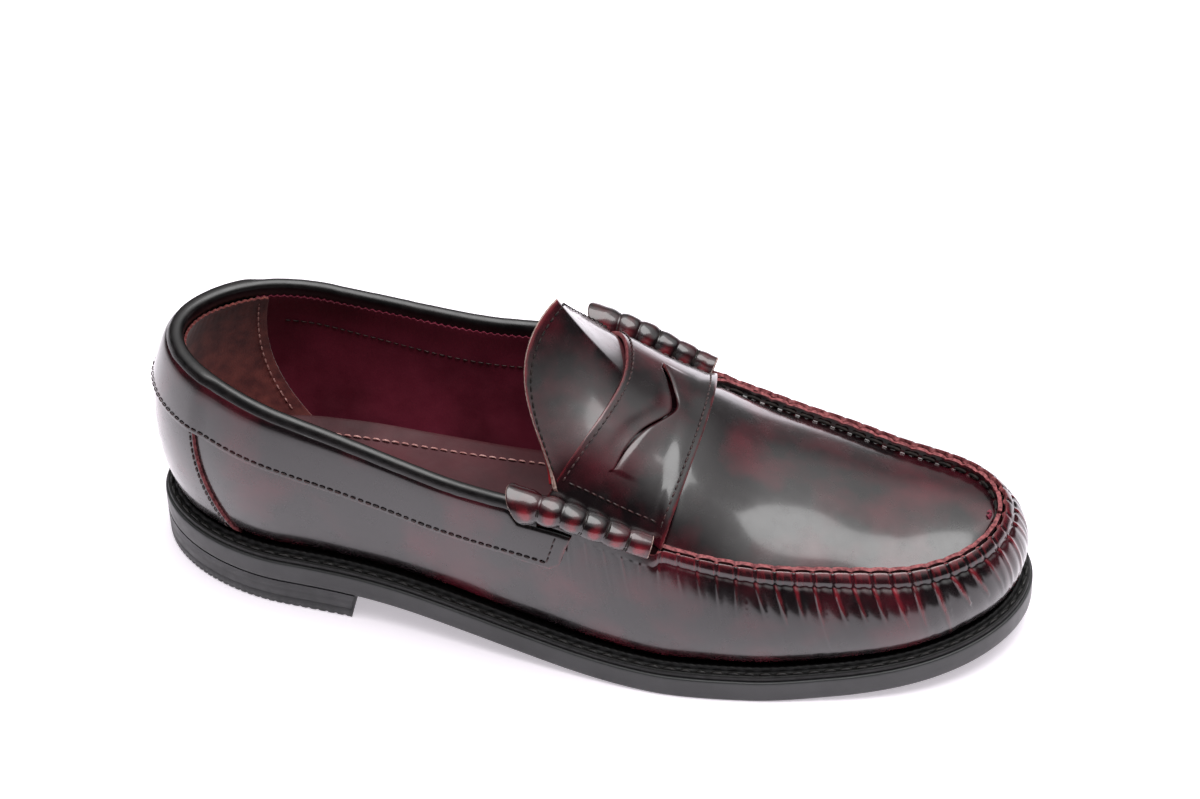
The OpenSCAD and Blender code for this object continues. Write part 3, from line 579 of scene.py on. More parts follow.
# %% Materials of the pieces inside
cork = surface("cork_granulate", clouds(2.5, "#7a5a34", "#c09a62", .45, .55, 1),
               {"IOR": 1.4, "Roughness": .9},
               waves=[(2.5, .3, 2)])
board = surface("bonded_leather_board", clouds(4, "#a98a5c", "#cdb184"), {"IOR": 1.45, "Roughness": .85},
                waves=[(.8, .08, 4)])
foam = surface("latex_foam", clouds(1.5, "#cfc39a", "#e2d9b8"), {"IOR": 1.4, "Roughness": .95},
               waves=[(1.0, .2, 2)])
canvas = surface("cotton_canvas", clouds(1.2, "#b9af98", "#e0d8c4"), {"IOR": 1.4, "Roughness": .95},
                 waves=[(.9, .15, 1)])
stiffener_finish = surface("thermoplastic_board", clouds(5, "#bfb497", "#d6ccb0"),
                           {"IOR": 1.5, "Roughness": .7},
                           waves=[(1.5, .05, 2)])
steel = surface("rolled_spring_steel", clouds(10, "#8a8e92", "#a6abaf"), {"Metallic": 1.0, "Roughness": .35},
                waves=[(.6, .01, 1)])
nail_steel = surface("drawn_nail_steel", clouds(3, "#8f8f8a", "#babab4"), {"Metallic": 1.0, "Roughness": .3},
                     waves=[(.5, .01, 1)])
INSIDE = {"cork_filler": cork, "shank": steel, "insole_board": board, "heel_cushion": foam,
          "toe_puff": stiffener_finish, "heel_stiffener": stiffener_finish, "interlining_lateral": canvas,
          "interlining_medial": canvas, "heel_nails": nail_steel}
for node, finish in INSIDE.items():
    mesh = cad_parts[node].data
    mesh.materials.clear()
    mesh.materials.append(finish)
print("pieces kept from the CAD:", sorted(INSIDE))


# %% A piece and its place
def stands_for(obj, node, slot, body="shoe"):
    """The piece shows a CAD node and rides on its body. slot is not used."""
    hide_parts(node)
    if body:
        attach(obj, body)
    print(node, len(obj.data.vertices), "vertices")
    return obj


# %% [markdown]
# ## The vamp
# The vamp is one long piece that wraps the toe and the outer side. It is pulled up over the last and
# sewn to the apron by hand, with more leather on its side of the seam, so it puckers at each stitch.
# Its grid has narrow columns round the toe, and the puckers are moved into the points themselves,
# because light has to roll over them.

# %% The moccasin seam's rhythm
MOC_PITCH = 6.3
SEAM_START = travel_at(angle_at(ROLL_SPAN[LATERAL][1]))
SEAM_END = travel_at(angle_at(ROLL_SPAN[MEDIAL][1], MEDIAL))
STITCHES = int(round((SEAM_END - SEAM_START) / MOC_PITCH))
PITCH = (SEAM_END - SEAM_START) / STITCHES
# Stitches and puckers are counted from so many places before the seam
MARGIN = 30
PLACES = STITCHES + 2 * MARGIN
pucker_length = rng.uniform(10, 20, PLACES)
pucker_depth = rng.uniform(.7, 1.2, PLACES)
pucker_slant = rng.uniform(-.3, -.02, PLACES)
block_tone = rng.uniform(.1, 1, PLACES)
print("moccasin seam:", STITCHES, "stitches of", round(PITCH, 2), "mm")


# Depth of the ridge beside the seam
RIDGE_FOOT = 3.5


def beyond_roll(a):
    """0 beside the rolls and behind them, and 1 along the moccasin seam."""
    return ease((x_at(a) - roll_span(a, 1) + 1) / 5)


def at_stitch(a, below=0.0):
    """Distance along the seam to the nearest stitch, and which stitch it is."""
    along = (travel_at(np.mod(a, 360)) - SEAM_START) / PITCH
    k = np.clip(np.floor(along).astype(int) + MARGIN, 0, PLACES - 1)
    return (along - np.floor(along) - .5) * PITCH + pucker_slant[k] * below, k


def pucker(a, below):
    """Relief of the vamp at a distance below the crest of the seam, and how much of its coat is rubbed
    off."""
    d, k = at_stitch(a, np.maximum(below - RIDGE_FOOT - .1, 0))
    on_seam = beyond_roll(a)
    # The puckers are deep round the toe, shallow beside the foot, and small under the rolls
    toe = ease((x_at(a) - 185) / 70)
    under_roll = ease((x_at(a) - roll_span(a, 0) - 2) / 6) * (1 - on_seam)
    strength = on_seam * lerp(.5, 1.0, toe) + .5 * under_roll
    reach = np.exp(-(np.maximum(below - RIDGE_FOOT - .2, 0) / (pucker_length[k] * lerp(.6, 1.0, toe)))**1.4)
    reach = strength * reach * ease((below - RIDGE_FOOT + .1) / .7)
    # The ridge is cut into blocks by the stitches, and a groove runs along its foot
    on_ridge = on_seam * (below < RIDGE_FOOT)
    stitch = bump(d, .6)
    ridge = on_ridge * np.sin(math.pi * np.clip(below / RIDGE_FOOT, 0, 1))**.6
    groove = on_seam * bump(below - 3.8, .95)
    across = d / PITCH
    pleat = bump(d + .2, np.where(d < -.2, .45, .95))
    hollow = np.cos(math.pi * across)**2
    relief = ridge * (.55 * (1 - stitch) - .25) - .5 * groove
    relief = relief + reach * pucker_depth[k] * (.85 * pleat - .7 * hollow + .15)
    # The coat is gone at the rim of each block, in patches inside it, and along each pleat
    rim = bump(np.abs(d) - .85, .3) + bump(below, 1.1)
    middle = bump((1 - np.abs(across)) * PITCH / 2 - 1.2, 1.0) * (across > 0)
    rub = on_ridge * (.12 + .5 * np.clip(rim, 0, 1) + .45 * block_tone[k] * middle)
    rub = rub * (1 - stitch) + reach * (.75 * pleat + .22 * block_tone[k])
    return relief, np.clip(rub, 0, 1)


# %% The wall's patches
def seam_shift(seam, t):
    """How far a seam has moved round the shoe from its top, at share t of the wall's height."""
    top, foot, power = seam
    return (foot - top) * (1 - t)**power


def patch(tops, seam_from, seam_to, top_drop, near, rows, face, foot=0.0):
    """A patch of the wall. Rows near the edge lie at fixed distances from it, and the others share the
    rest."""
    tops = np.asarray(tops)[:, None]
    height = wall_height(tops)
    drop = top_drop(tops)
    total = height * (1 - foot) - drop
    near = np.asarray(near)[None]
    rest = near[:, -1:] + (total - near[:, -1:]) * np.linspace(0, 1, rows + 1)[None, 1:]**.9
    below = np.concatenate([near + 0 * total, rest], 1)
    t = 1 - below / total
    w = (tops - tops[0]) / (tops[-1] - tops[0])
    a = tops + lerp(seam_shift(seam_from, t), seam_shift(seam_to, t), w)
    v = 1 - (below + drop) / height
    return skin(a, v, face(a, below, height * v)), a, below


def moved(seam, d):
    """A seam moved round the shoe by an angle."""
    return seam[0] + d, seam[1] + d, seam[2]


COUNTER_SEAM = (angle_at(26), angle_at(41), 1.8)
COUNTER_SEAM_IN = (360 - COUNTER_SEAM[0], 360 - COUNTER_SEAM[1], 2)
QUARTER_SEAM = (angle_at(179, MEDIAL), angle_at(186, MEDIAL), 1)
NO_SEAM = (0, 0, 1)


# The quarters and the collar band stop this far below the topline, inside the piping
PIPED = 3.4


def tucked(above):
    """The wall draws in where it meets the welt."""
    return -1.4 * np.exp(-(np.maximum(above, 0) / 2.4)**2)


def piped_drop(a):
    """How far the quarters stop below the topline, inside the piping."""
    return PIPED * ease((roll_span(a, 0) + 13 - x_at(a)) / 6) + edge_drop(a)


# %% The vamp
NEAR = np.concatenate([[0, .12], np.arange(.4, 4.9, .33), np.arange(5.2, 22, .65)])


def vamp_face(a, below, above):
    """Relief of the vamp: puckers, a tuck at the welt, and a lap over the inner quarter."""
    relief, _ = pucker(a, below)
    lap = 1.2 * ease((a - QUARTER_SEAM[0] + 5) / 4)
    return relief + tucked(above) + lap + .18 * ripple(wall(a, .5), 24, 3)


vamp_tops = np.concatenate([
    even_angles(COUNTER_SEAM[0] - 4, angle_at(136), 2.2)[:-1],
    even_angles(angle_at(136), QUARTER_SEAM[0], .4)])
vamp_grid, vamp_a, vamp_below = patch(vamp_tops, moved(COUNTER_SEAM, -4), QUARTER_SEAM, piped_drop, NEAR,
                                      22, vamp_face)
crest_wave = .3 * np.exp(-(at_stitch(vamp_a[:, 0])[0] / .9)**2) * beyond_roll(vamp_a[:, 0])
vamp_grid[:, 0, 2] -= crest_wave
vamp_grid[:, 1, 2] -= crest_wave
rub = pucker(vamp_a, vamp_below)[1]
vamp = sheet("vamp_leather", vamp_grid, UPPER_T, [calf, flesh, cut_edge], {"burnish_and_highlight": rub}, edge=.3,
             flip=True)
stands_for(vamp, "vamp", "upper_leather")

# %% [markdown]
# ## The apron
# The apron closes the top of the foot. Its edge is turned up against the vamp's edge, so from the
# inner side a low wall of leather shows along the seam, and the two cut edges stand side by side on
# the crest. The lid is ruled across the shoe from seam to seam, with a crown that grows to the instep.


# %% The lid's surface
def beside_roll(a):
    """How far the apron and the strap keep away from the rolled strap end."""
    return roll_share(a) * np.maximum(0, roll_radius(a) + .8 * (LAYER_GAP + STRAP_T) + LAYER_GAP - 1.2
                                      - UPPER_T - .3)


def lid(a, q, inset=1.7, drop=2.0):
    """The lid over the foot: q is -1 at the outer seam and 1 at the inner one."""
    a, q = np.broadcast_arrays(np.asarray(a, float), np.asarray(q, float))
    left = top_point(a, inset + beside_roll(a), drop)
    right = top_point(360 - a, inset + beside_roll(360 - a), drop)
    points = lerp(left, right, ((q + 1) / 2)[..., None])
    points[..., 2] += (1 - np.abs(q)**CROWN_POWER) * INSTEP_RISE * curve(CROWN_FORM, share(a))
    return points


def lid_out(a, q):
    """The direction straight out of the lid."""
    along = lid(np.minimum(a + 1, 180), q) - lid(a - 1, q)
    return unit(np.cross(along, lid(a, np.minimum(q + .03, 1)) - lid(a, np.maximum(q - .03, -1))))


def lid_skin(a, q, d):
    """A layer that lies d above the lid."""
    a, q = np.broadcast_arrays(np.asarray(a, float), np.asarray(q, float))
    return lid(a, q) + np.asarray(d)[..., None] * lid_out(a, q)


def strap_rear(q):
    """Where the strap's rear edge lies, from the back of the heel."""
    return 145 + 17 * (1 - q * q)


def strap_front(q):
    """Where the strap's front edge lies, from the back of the heel."""
    return 184.5 + 5.5 * (1 - q * q)


# %% The apron
q_inner = np.sin(np.linspace(-1, 1, 61) * math.pi / 2)
TURN_UP = [(3.45, 3.1), (3.12, 2.75), (2.96, 2.1), (2.9, 1.4), (2.88, .7), (2.86, .1)]
front_rows = even_angles(angle_at(193), 179.1, 1.0)
rear_rows = np.array([angle_at(lerp(strap_rear(q_inner) + 4, 193, k / 10)) for k in range(10)])
apron_a = np.concatenate([rear_rows, np.repeat(front_rows[:, None], len(q_inner), 1)])
apron_grid = lid(apron_a, q_inner[None], 3.9, 3.2)
edge_near = np.exp(-((1 - np.abs(q_inner)) / .08))[None]
dents = .1 * ripple(apron_grid, 46, 5) * (1 - np.abs(q_inner[None])**6)
under_strap = 1.6 * ease((188 - apron_grid[..., 0]) / 6)
apron_grid[..., 2] += dents - under_strap * (1 - edge_near)
flanges = []
for side in (LATERAL, MEDIAL):
    column = apron_a[:, 0] if side == LATERAL else 360 - apron_a[:, -1]
    fold = np.exp(-(at_stitch(column)[0] / .9)**2) * beyond_roll(column)
    rows = [top_point(column, inset + .35 * fold * (drop > 0.3) + beside_roll(column), drop + .45 * fold
                      * (drop < 1))
            for inset, drop in TURN_UP]
    flanges.append(np.stack(rows[::-1] if side == LATERAL else rows, 1))
apron_grid = np.concatenate([flanges[0], apron_grid, flanges[1]], 1)
across = np.concatenate([np.full(6, -1.0), q_inner, np.full(6, 1.0)])
rub = np.repeat((.3 * np.exp(-(1 - np.abs(across)) / .02))[None], len(apron_grid), 0)
rub[:, [0, 1, -2, -1]] = .5
rub[:, [2, -3]] = .15
apron = sheet("apron_leather", apron_grid, UPPER_T, [calf, flesh, cut_edge], {"burnish_and_highlight": rub}, edge=.3)
stands_for(apron, "apron", "upper_leather")

lining_grid = lid_skin(apron_a, q_inner[None] * .93, -3.9 + 0 * apron_a)
apron_lining = sheet("apron_lining_leather", lining_grid, LINING_T, [lining, lining, lining], edge=.2)
stands_for(apron_lining, "apron_lining", "lining_leather")

# %% [markdown]
# ## The moccasin stitches
# One waxed thread holds the ridge. At each stitch it climbs out of the groove outside, goes through
# both leathers under the crest and comes out at the foot of the turned-up apron edge. Between the
# holes it lies along the groove and along the foot of the edge, so it shows as short beads.

# %% Thread over the moccasin seam
THROUGH_RIDGE = [(.75, 4.2), (.3, 3.8), (.1, 3.1), (.12, 2.3), (.35, 1.7), (1.2, 1.5), (2.4, 1.6),
                 (3.0, 1.9), (3.3, 2.4)]
turns, dashes = [], []
for k in range(STITCHES):
    travel = SEAM_START + (k + .5) * PITCH
    if beyond_roll(angle_of(travel)) > .6:
        a = angle_of(travel + np.linspace(-.2, .2, len(THROUGH_RIDGE)))
        turns.append(np.stack([top_point(a[i], inset, drop) for i,
                               (inset, drop) in enumerate(THROUGH_RIDGE)]))
        for lo, hi, inset, drop in ((.9, 5.4, .4, 4.15), (-2.5, 2.3, 3.45, 2.45)):
            a = angle_of(travel + np.linspace(lo, hi, 7))
            dashes.append(top_point(a, inset, drop - .3 * np.sin(np.linspace(0, math.pi, 7))))
moc_thread = tube("moccasin_thread", turns + dashes, np.repeat([.3, .55], [len(turns), len(dashes)]),
                  dark_thread)
stands_for(moc_thread, "moc_seam_thread", "thread_dark")

# %% [markdown]
# ## The saddle strap
# The strap is a second leather laid over the instep. The slot is cut through it, so the mesh is two
# grids, behind and in front of the slot, that share their points outside it. Solidify then gives the
# slot real walls.

# %% The strap
SLOT_REAR = [[-28, 165], [0, 169.5], [20, 171]]
SLOT_FRONT = [[-28, 165.5], [-14, 172], [0, 180], [10, 177], [20, 171.5]]
strap_q = np.linspace(-1, 1, 141)
slot_y = lid(angle_at(172), strap_q)[:, 1]
slot_lo = curve(SLOT_REAR, slot_y)
slot_hi = np.maximum(curve(SLOT_FRONT, slot_y), slot_lo)
inside_slot = (slot_y > -27.5) & (slot_y < 19.5) & (slot_hi - slot_lo > .25)
width = np.interp(slot_y, [-28, -22, -2, 2, 17, 20], [0, .7, .8, 1.7, 1.9, 0])
slot_lo = np.where(inside_slot, slot_hi - width, slot_lo)
slot_hi = np.where(inside_slot, slot_hi, slot_lo)
REAR_ROWS, FRONT_ROWS = 20, 20
rear_x = np.array([lerp(strap_rear(strap_q), slot_lo, k / REAR_ROWS) for k in range(REAR_ROWS + 1)])
front_x = np.array([lerp(slot_hi, strap_front(strap_q), k / FRONT_ROWS) for k in range(FRONT_ROWS + 1)])
strap_x = np.concatenate([rear_x, front_x])
strap_lift = LAYER_GAP + STRAP_T + .25 * ripple(np.stack([strap_x, slot_y + 0 * strap_x, 0 * strap_x], -1),
                                                22, 8)
behind_slot = np.maximum(slot_lo - strap_x, 0)
in_front = np.maximum(strap_x - slot_hi, 0)
slot_near = np.exp(-((behind_slot + in_front) / 1.2)**2) * inside_slot
flap = np.interp(slot_y, [-27, -12, 0, 12], [0, 1, .7, 0]) * inside_slot
strap_lift = strap_lift - .5 * flap * np.exp(-(behind_slot / 4.5)**4) * (in_front == 0)
strap_lift = strap_lift + .35 * np.exp(-(in_front / 5)**2) * inside_slot * (in_front > 0)
strap_points = lid_skin(angle_at(strap_x), strap_q[None], strap_lift)
columns = len(strap_q)
index = np.arange(len(strap_points) * columns).reshape(-1, columns)
closed = ~inside_slot
index[REAR_ROWS + 1, closed] = index[REAR_ROWS, closed]
strap_faces = []
for i in list(range(REAR_ROWS)) + list(range(REAR_ROWS + 1, len(strap_points) - 1)):
    strap_faces += [[index[i, j], index[i + 1, j], index[i + 1, j + 1],
                     index[i, j + 1]] for j in range(columns - 1)]
used = np.unique(np.array(strap_faces))
renumber = np.zeros(index.size, int)
renumber[used] = np.arange(len(used))
flat_points = strap_points.reshape(-1, 3)[used]
edge_rub = np.maximum(np.exp(-np.abs(strap_x - strap_front(strap_q)) / .8),
                      np.exp(-np.abs(strap_x - strap_rear(strap_q)) / .8))
strap_rub = np.clip(.6 * edge_rub + .25 * slot_near, 0, 1).reshape(-1)[used]
strap = sheet("strap_leather", flat_points, STRAP_T, [calf, flesh, cut_edge], {"burnish_and_highlight": strap_rub},
              edge=.35,
              faces=renumber[np.array(strap_faces)])
stands_for(strap, "strap", "upper_leather")


# %% Stitches on the strap
def strap_row(q, x):
    """A line of stitches on the strap and its directions."""
    a = angle_at(x)
    return lid_skin(a, q, LAYER_GAP + STRAP_T + .05 + 0 * a), lid_out(a, q)


q_row = np.linspace(-.9, .9, 120)
side_x = np.linspace(0, 1, 60)
strap_rows = [strap_row(q_row, strap_rear(q_row) + 1.8), strap_row(q_row, strap_front(q_row) - 1.9)]
for q in (-.89, .89):
    strap_rows.append(strap_row(q + 0 * side_x, lerp(strap_rear(q) + 3.5, strap_front(q) - 3.5, side_x)))
strap_thread = stitch_row("strap_stitches", strap_rows, **FINE)
stands_for(strap_thread, "strap_thread", "thread_red")

# %% [markdown]
# ## Beef rolls
# Each end of the strap is rolled up and bound down with thread, which makes a row of small cushions
# of leather. A ring of points is swept along the roll, and its radius is pinched at each binding. The
# rear end is a cut through the roll, so it is hollow there, with a pale edge.

# %% The rolled strap ends
LOBES, RINGS, AROUND = 6, 132, 40


def roll_frame(side, t):
    """Middle, direction and radius of a roll, t from 0 at its rear to 1 at its front."""
    a = angle_at(lerp(*ROLL_SPAN[side], t), side)
    centre = top_point(a, lerp(-1.4, -.4, t), -.3)
    along = unit(np.gradient(centre, axis=0))
    out = outward(top_loop, a)
    out = np.concatenate([out, 0 * out[..., :1]], -1)
    out = unit(out - np.sum(out * along, -1, keepdims=True) * along)
    return centre, along, out, lerp(ROLL_R, ROLL_FRONT_R, t)


# The rows of a cut end, from its rim inwards: share of the radius left, and depth into the roll
CUT_END = ((.97, -.25), (.88, -.3), (.8, 0), (.76, .8), (.7, 3.5), (.35, 5), (.02, 5))
END_ROWS, EDGE_ROWS = len(CUT_END), 3
# Random strength of the painted highlight on each lobe
lobe_highlight_tone = rng.uniform(.55, 1, LOBES)


def rolled_end(name, side):
    """A roll with pinched lobes and hollow cut ends."""
    t = np.linspace(0, 1, RINGS)
    centre, along, out, size = roll_frame(side, t)
    up = np.cross(out, along) * side
    up *= np.sign(up[:, 2:])
    phi = np.linspace(0, 2 * math.pi, AROUND, endpoint=False)
    pinch = np.abs(np.sin(math.pi * LOBES * t))
    pinch[t < .5 / LOBES] = 1
    pinch[t > 1 - .35 / LOBES] = .93
    radius = size * (.8 + .2 * pinch**.4) * (1 + .12 * np.clip(1 - t * LOBES, 0, 1))
    spokes = out[:, None] * np.cos(phi)[None, :, None] + up[:, None] * np.sin(phi)[None, :, None]
    ring = centre[:, None] + radius[:, None, None] * spokes
    oblique = 4.0 * np.clip(1 - t * LOBES, 0, 1)[:, None] * np.sin(phi)[None]
    ring = ring - oblique[..., None] * along[:, None]
    ring = ring + (.16 * ripple(ring, 6, 21 + side))[..., None] * spokes
    ends = []
    for end, sense in ((0, 1), (-1, -1)):
        rows = []
        for share_left, depth in CUT_END:
            middle = ring[end].mean(0)
            rows.append(middle + (ring[end] - middle) * share_left + sense * depth * along[end])
        ends.append(rows)
    points = np.stack(ends[0][::-1] + list(ring) + ends[1])
    pinched = np.concatenate([np.zeros(END_ROWS), pinch, np.zeros(END_ROWS)])
    upness = .5 + .5 * np.sin(phi)[None]
    along_t = np.concatenate([np.zeros(END_ROWS), t, np.ones(END_ROWS)])
    lobe = np.minimum((along_t * LOBES).astype(int), LOBES - 1)
    # Painted highlight: a red spot on each lobe's outer face, a little above its side, stands for a
    # reflection of the lamp. The other terms are coat rubbed off the lobes, most on their tops.
    painted_highlight = 1.7 * np.exp(-((upness - .58) / .18)**2) * np.exp(-((along_t * LOBES - lobe - .55) / .26)[:,
            None]**2)
    rub = lobe_highlight_tone[lobe][:, None] * painted_highlight * pinched[:, None] + .2 * pinched[:, None] * upness + .1
    faces = grid_faces(len(points), AROUND, wrap_m=True, flip=side == MEDIAL)
    row_of = np.repeat(np.arange(len(points) - 1), AROUND)
    from_end = np.maximum(END_ROWS - 1 - row_of, row_of - (RINGS + END_ROWS - 1))
    slots = np.where(from_end < 0, 0, np.where(from_end < EDGE_ROWS, 1, 2))
    obj = mesh_object(name, points.reshape(-1, 3), list(faces), [calf, raw_edge, flesh], slots,
                      {"burnish_and_highlight": rub})
    return obj


for side, node in ((LATERAL, "beef_roll_lateral"), (MEDIAL, "beef_roll_medial")):
    stands_for(rolled_end("rolled_" + node, side), node, "upper_leather")
    windings = []
    for k in range(1, LOBES):
        for shift in (-.010, .010):
            t = np.array([k / LOBES + shift - .01, k / LOBES + shift, k / LOBES + shift + .01])
            centre, along, out, size = roll_frame(side, t)
            up = np.cross(out[1], along[1])
            turn = np.linspace(0, 2 * math.pi, 49)[:, None]
            windings.append(centre[1] + (size[1] * .8 + .05) * (out[1] * np.cos(turn) + up * np.sin(turn)))
    thread = tube("winding_" + node, windings, .42, dark_thread)
    stands_for(thread, node.replace("beef_roll", "roll_thread"), "thread_dark")

# %% [markdown]
# ## The quarters, counter and collar
# Behind the strap the wall is made of flat patches that overlap like roof tiles: the counter over
# both quarters, and the collar band over them all. Each is lifted by one leather's thickness where
# it laps its neighbour, because that step and its shadow are what make it read as a separate piece.

# %% Quarter and counter
FLAT_NEAR = np.concatenate([[0, .15], np.arange(.8, 6, .9)])
COUNTER_LIFT = 1.15


def flat_face(a, below, above):
    """A smooth leather with slight waves, tucked in at the welt."""
    return tucked(above) + .16 * ripple(wall(a, .5), 30, 9)


def counter_face(a, below, above):
    """The counter lies over the quarters."""
    return flat_face(a, below, above) + COUNTER_LIFT


quarter_tops = even_angles(QUARTER_SEAM[0] - 3, COUNTER_SEAM_IN[0] + 4, 2.2)
quarter_grid, _, _ = patch(quarter_tops, moved(QUARTER_SEAM, -3), moved(COUNTER_SEAM_IN, 4), piped_drop,
                           FLAT_NEAR, 26, flat_face)
quarter = sheet("medial_quarter_leather", quarter_grid, UPPER_T, [calf, flesh, cut_edge],
                {"burnish_and_highlight": 0 * quarter_grid[..., 0]}, flip=True)
stands_for(quarter, "medial_quarter", "upper_leather")

counter_tops = even_angles(COUNTER_SEAM_IN[0], COUNTER_SEAM[0] + 360, 1.6)
counter_grid, _, _ = patch(counter_tops, COUNTER_SEAM_IN, COUNTER_SEAM, piped_drop, FLAT_NEAR, 30,
                           counter_face)
side_share = np.abs(np.linspace(-1, 1, len(counter_tops)))[:, None] + 0 * counter_grid[..., 0]
counter = sheet("counter_leather", counter_grid, UPPER_T, [calf, flesh, cut_edge],
                {"burnish_and_highlight": .35 * np.exp(-(1 - side_share) / .015)}, flip=True)
stands_for(counter, "counter_cover", "upper_leather")


def seam_rows(seam, shifts, low, high, d, away=1):
    """Lines of stitches along a seam down the wall."""
    t = np.linspace(low, high, 60)
    rows = []
    for shift in shifts:
        a = moved(seam, shift)[0] + seam_shift(moved(seam, shift), t)
        rows.append((skin(a, t, d + 0 * t), wall_out(a, t) * away))
    return rows


counter_rows = []
for seam, shift in ((COUNTER_SEAM, -.9), (COUNTER_SEAM_IN, .9)):
    counter_rows += seam_rows(seam, (shift,), .07, .72, COUNTER_LIFT + .1)
counter_thread = stitch_row("counter_stitches", counter_rows, **FINE)
stands_for(counter_thread, "counter_thread", "thread_red")
quarter_thread = stitch_row("quarter_stitches", seam_rows(QUARTER_SEAM, (-.9, -2.2), .07, .8, 1.2), **FINE)
stands_for(quarter_thread, "quarter_thread", "thread_red")

# %% Collar band
LINING_FACE = -(LINING_D + LINING_T)
GRIP_SEAM = (angle_at(33), angle_at(54), 3)
COLLAR_FRONT, COLLAR_LOW = 151, 22.0


def over_counter(a):
    """1 over the counter and 0 away from it."""
    back = np.abs(np.mod(a + 180, 360) - 180)
    return ease((COUNTER_SEAM[0] + 5 - back) / 5)


def collar_face(a, below, above):
    """The band lies over the quarters and a little higher over the counter."""
    rounded = -.9 * np.exp(-below / 1.1)
    return 1.5 + 1.0 * over_counter(a) + rounded + .12 * ripple(wall(a, .8), 26, 13)


collar_tops = even_angles(angle_at(COLLAR_FRONT, MEDIAL), 360 + angle_at(COLLAR_FRONT), 1.2)
collar_rows = np.concatenate([[0, .3, .8, 1.5, 2.5], np.linspace(4, COLLAR_LOW - PIPED, 16)])


def collar_band_grid():
    """The band's grid, from the piping down to its stitched edge."""
    below = collar_rows[None] + 0 * collar_tops[:, None]
    # The front ends slope forward under the roll and have a rounded lower corner
    slope = 1.9 * (1 - below / collar_rows[-1]) - .9 * ease((below / collar_rows[-1] - .8) / .2)
    to_end = np.minimum(collar_tops - collar_tops[0], collar_tops[-1] - collar_tops)[:, None]
    way = np.where(collar_tops > 360, 1, -1)[:, None]
    tops = collar_tops[:, None] + way * slope * ease(1 - to_end / 8)
    height = wall_height(tops)
    v = 1 - (PIPED + below + edge_drop(tops) * np.exp(-below / 12)) / height
    return skin(tops + 0 * below, v, collar_face(tops, below, height))


collar_grid = collar_band_grid()
low_rub = .4 * np.exp(-(collar_rows[-1] - collar_rows) / .8)
ends = np.minimum(collar_tops - collar_tops[0], collar_tops[-1] - collar_tops)[:, None]
collar_rub = np.maximum(low_rub[None], .5 * np.exp(-ends / .5))
collar = sheet("collar_leather", collar_grid, 1.1, [calf, flesh, cut_edge], {"burnish_and_highlight": collar_rub},
               flip=True)
stands_for(collar, "collar_band", "upper_leather")

row_a = np.linspace(angle_at(COLLAR_FRONT - 3.4, MEDIAL), 360 + angle_at(COLLAR_FRONT - 3.4), 300)
row_v = 1 - (COLLAR_LOW - 1.6) / wall_height(row_a)
collar_row = skin(row_a, row_v, collar_face(row_a, 14 + 0 * row_a, 0) + .1)
front_a = row_a[-1] + np.linspace(0, 1.2, 12)
front_v = 1 - np.linspace(COLLAR_LOW - 1.6, 9, 12) / wall_height(front_a)
front_row = skin(front_a, front_v, collar_face(front_a, 14 + 0 * front_v, 0) + .1)
inner_a = np.linspace(GRIP_SEAM[0] + 4, angle_at(150), 120)
inner_rows = []
for inside_a in (inner_a, 360 - inner_a):
    inner_v = 1 - 19 / wall_height(inside_a)
    inner_rows.append((skin(inside_a, inner_v, LINING_FACE - .15), -wall_out(inside_a, inner_v)))
collar_rows_sewn = [(collar_row, wall_out(row_a, row_v)),
                    (front_row, wall_out(front_a, front_v))] + inner_rows
collar_thread = stitch_row("collar_stitches", collar_rows_sewn, 2.7, .6, wine_thread, fill=.78)
stands_for(collar_thread, "collar_thread", "thread_red")

# %% [markdown]
# ## The topline binding
# A strip of thin calf is folded over the top of the wall. Its section is one open curve, from the
# collar over the top and down inside, swept round the topline.

# %% Piping
SECTION = [(.45, 4.4), (.75, 3.9), (.75, 3.0), (.5, 1.9), (.1, 1.0), (-.55, .35), (-1.5, .1), (-2.5, .25),
           (-3.3, .9), (-3.8, 1.8), (-4.05, 3.2), (-4.15, 5), (-4.1, 7)]
piping_a = even_angles(angle_at(ROLL_SPAN[MEDIAL][0] + 6, MEDIAL), 360
                       + angle_at(ROLL_SPAN[LATERAL][0] + 6), 1.2)
piping_grid = np.stack([skin(piping_a, 1 - (drop + edge_drop(piping_a)) / wall_height(piping_a),
                             d + .9 * over_counter(piping_a) * (d > 0) + .05 * ripple(wall(piping_a, 1), 5,
                                     17))
                        for d, drop in SECTION], 1)
piping = sheet("topline_binding", piping_grid, .7, [piping_calf, flesh, piping_calf], edge=.2)
stands_for(piping, "topline_piping", "piping_leather")

# %% [markdown]
# ## Inside the shoe
# The lining covers the inside of the wall, and its top edge is pinked, cut in small teeth, where it
# is stitched over the binding. A suede grip covers the heel, so the foot doesn't slip out. The teeth
# are modelled by moving the rim of the grid up and down.

# %% Linings
def pinked_drop(a):
    """The toothed top edge of the lining, below the topline."""
    tooth = np.abs(np.mod(travel_at(a) / 2.4, 1) - .5) * 2
    return 4.3 + 1.1 * tooth + edge_drop(a)


def lining_face(a, below, above):
    """The lining turns over the binding near the top and stands clear of the sock below."""
    return LINING_FACE - .95 * np.exp(-(below / 7)**2) + .12 * ripple(wall(a, .4), 28, 31)


def lining_piece(node, tops, seam_from, seam_to, drop, face, finish, edge_finish, slot, rows=24):
    """A piece of the inside, with its good side towards the foot."""
    near = np.concatenate([[0, .15], np.arange(.8, 5, .8)])
    grid, _, _ = patch(tops, seam_from, seam_to, drop, near, rows, face, foot=.03)
    obj = sheet(node + "_leather", grid, LINING_T, [finish, flesh, edge_finish], edge=.15)
    return stands_for(obj, node, slot)


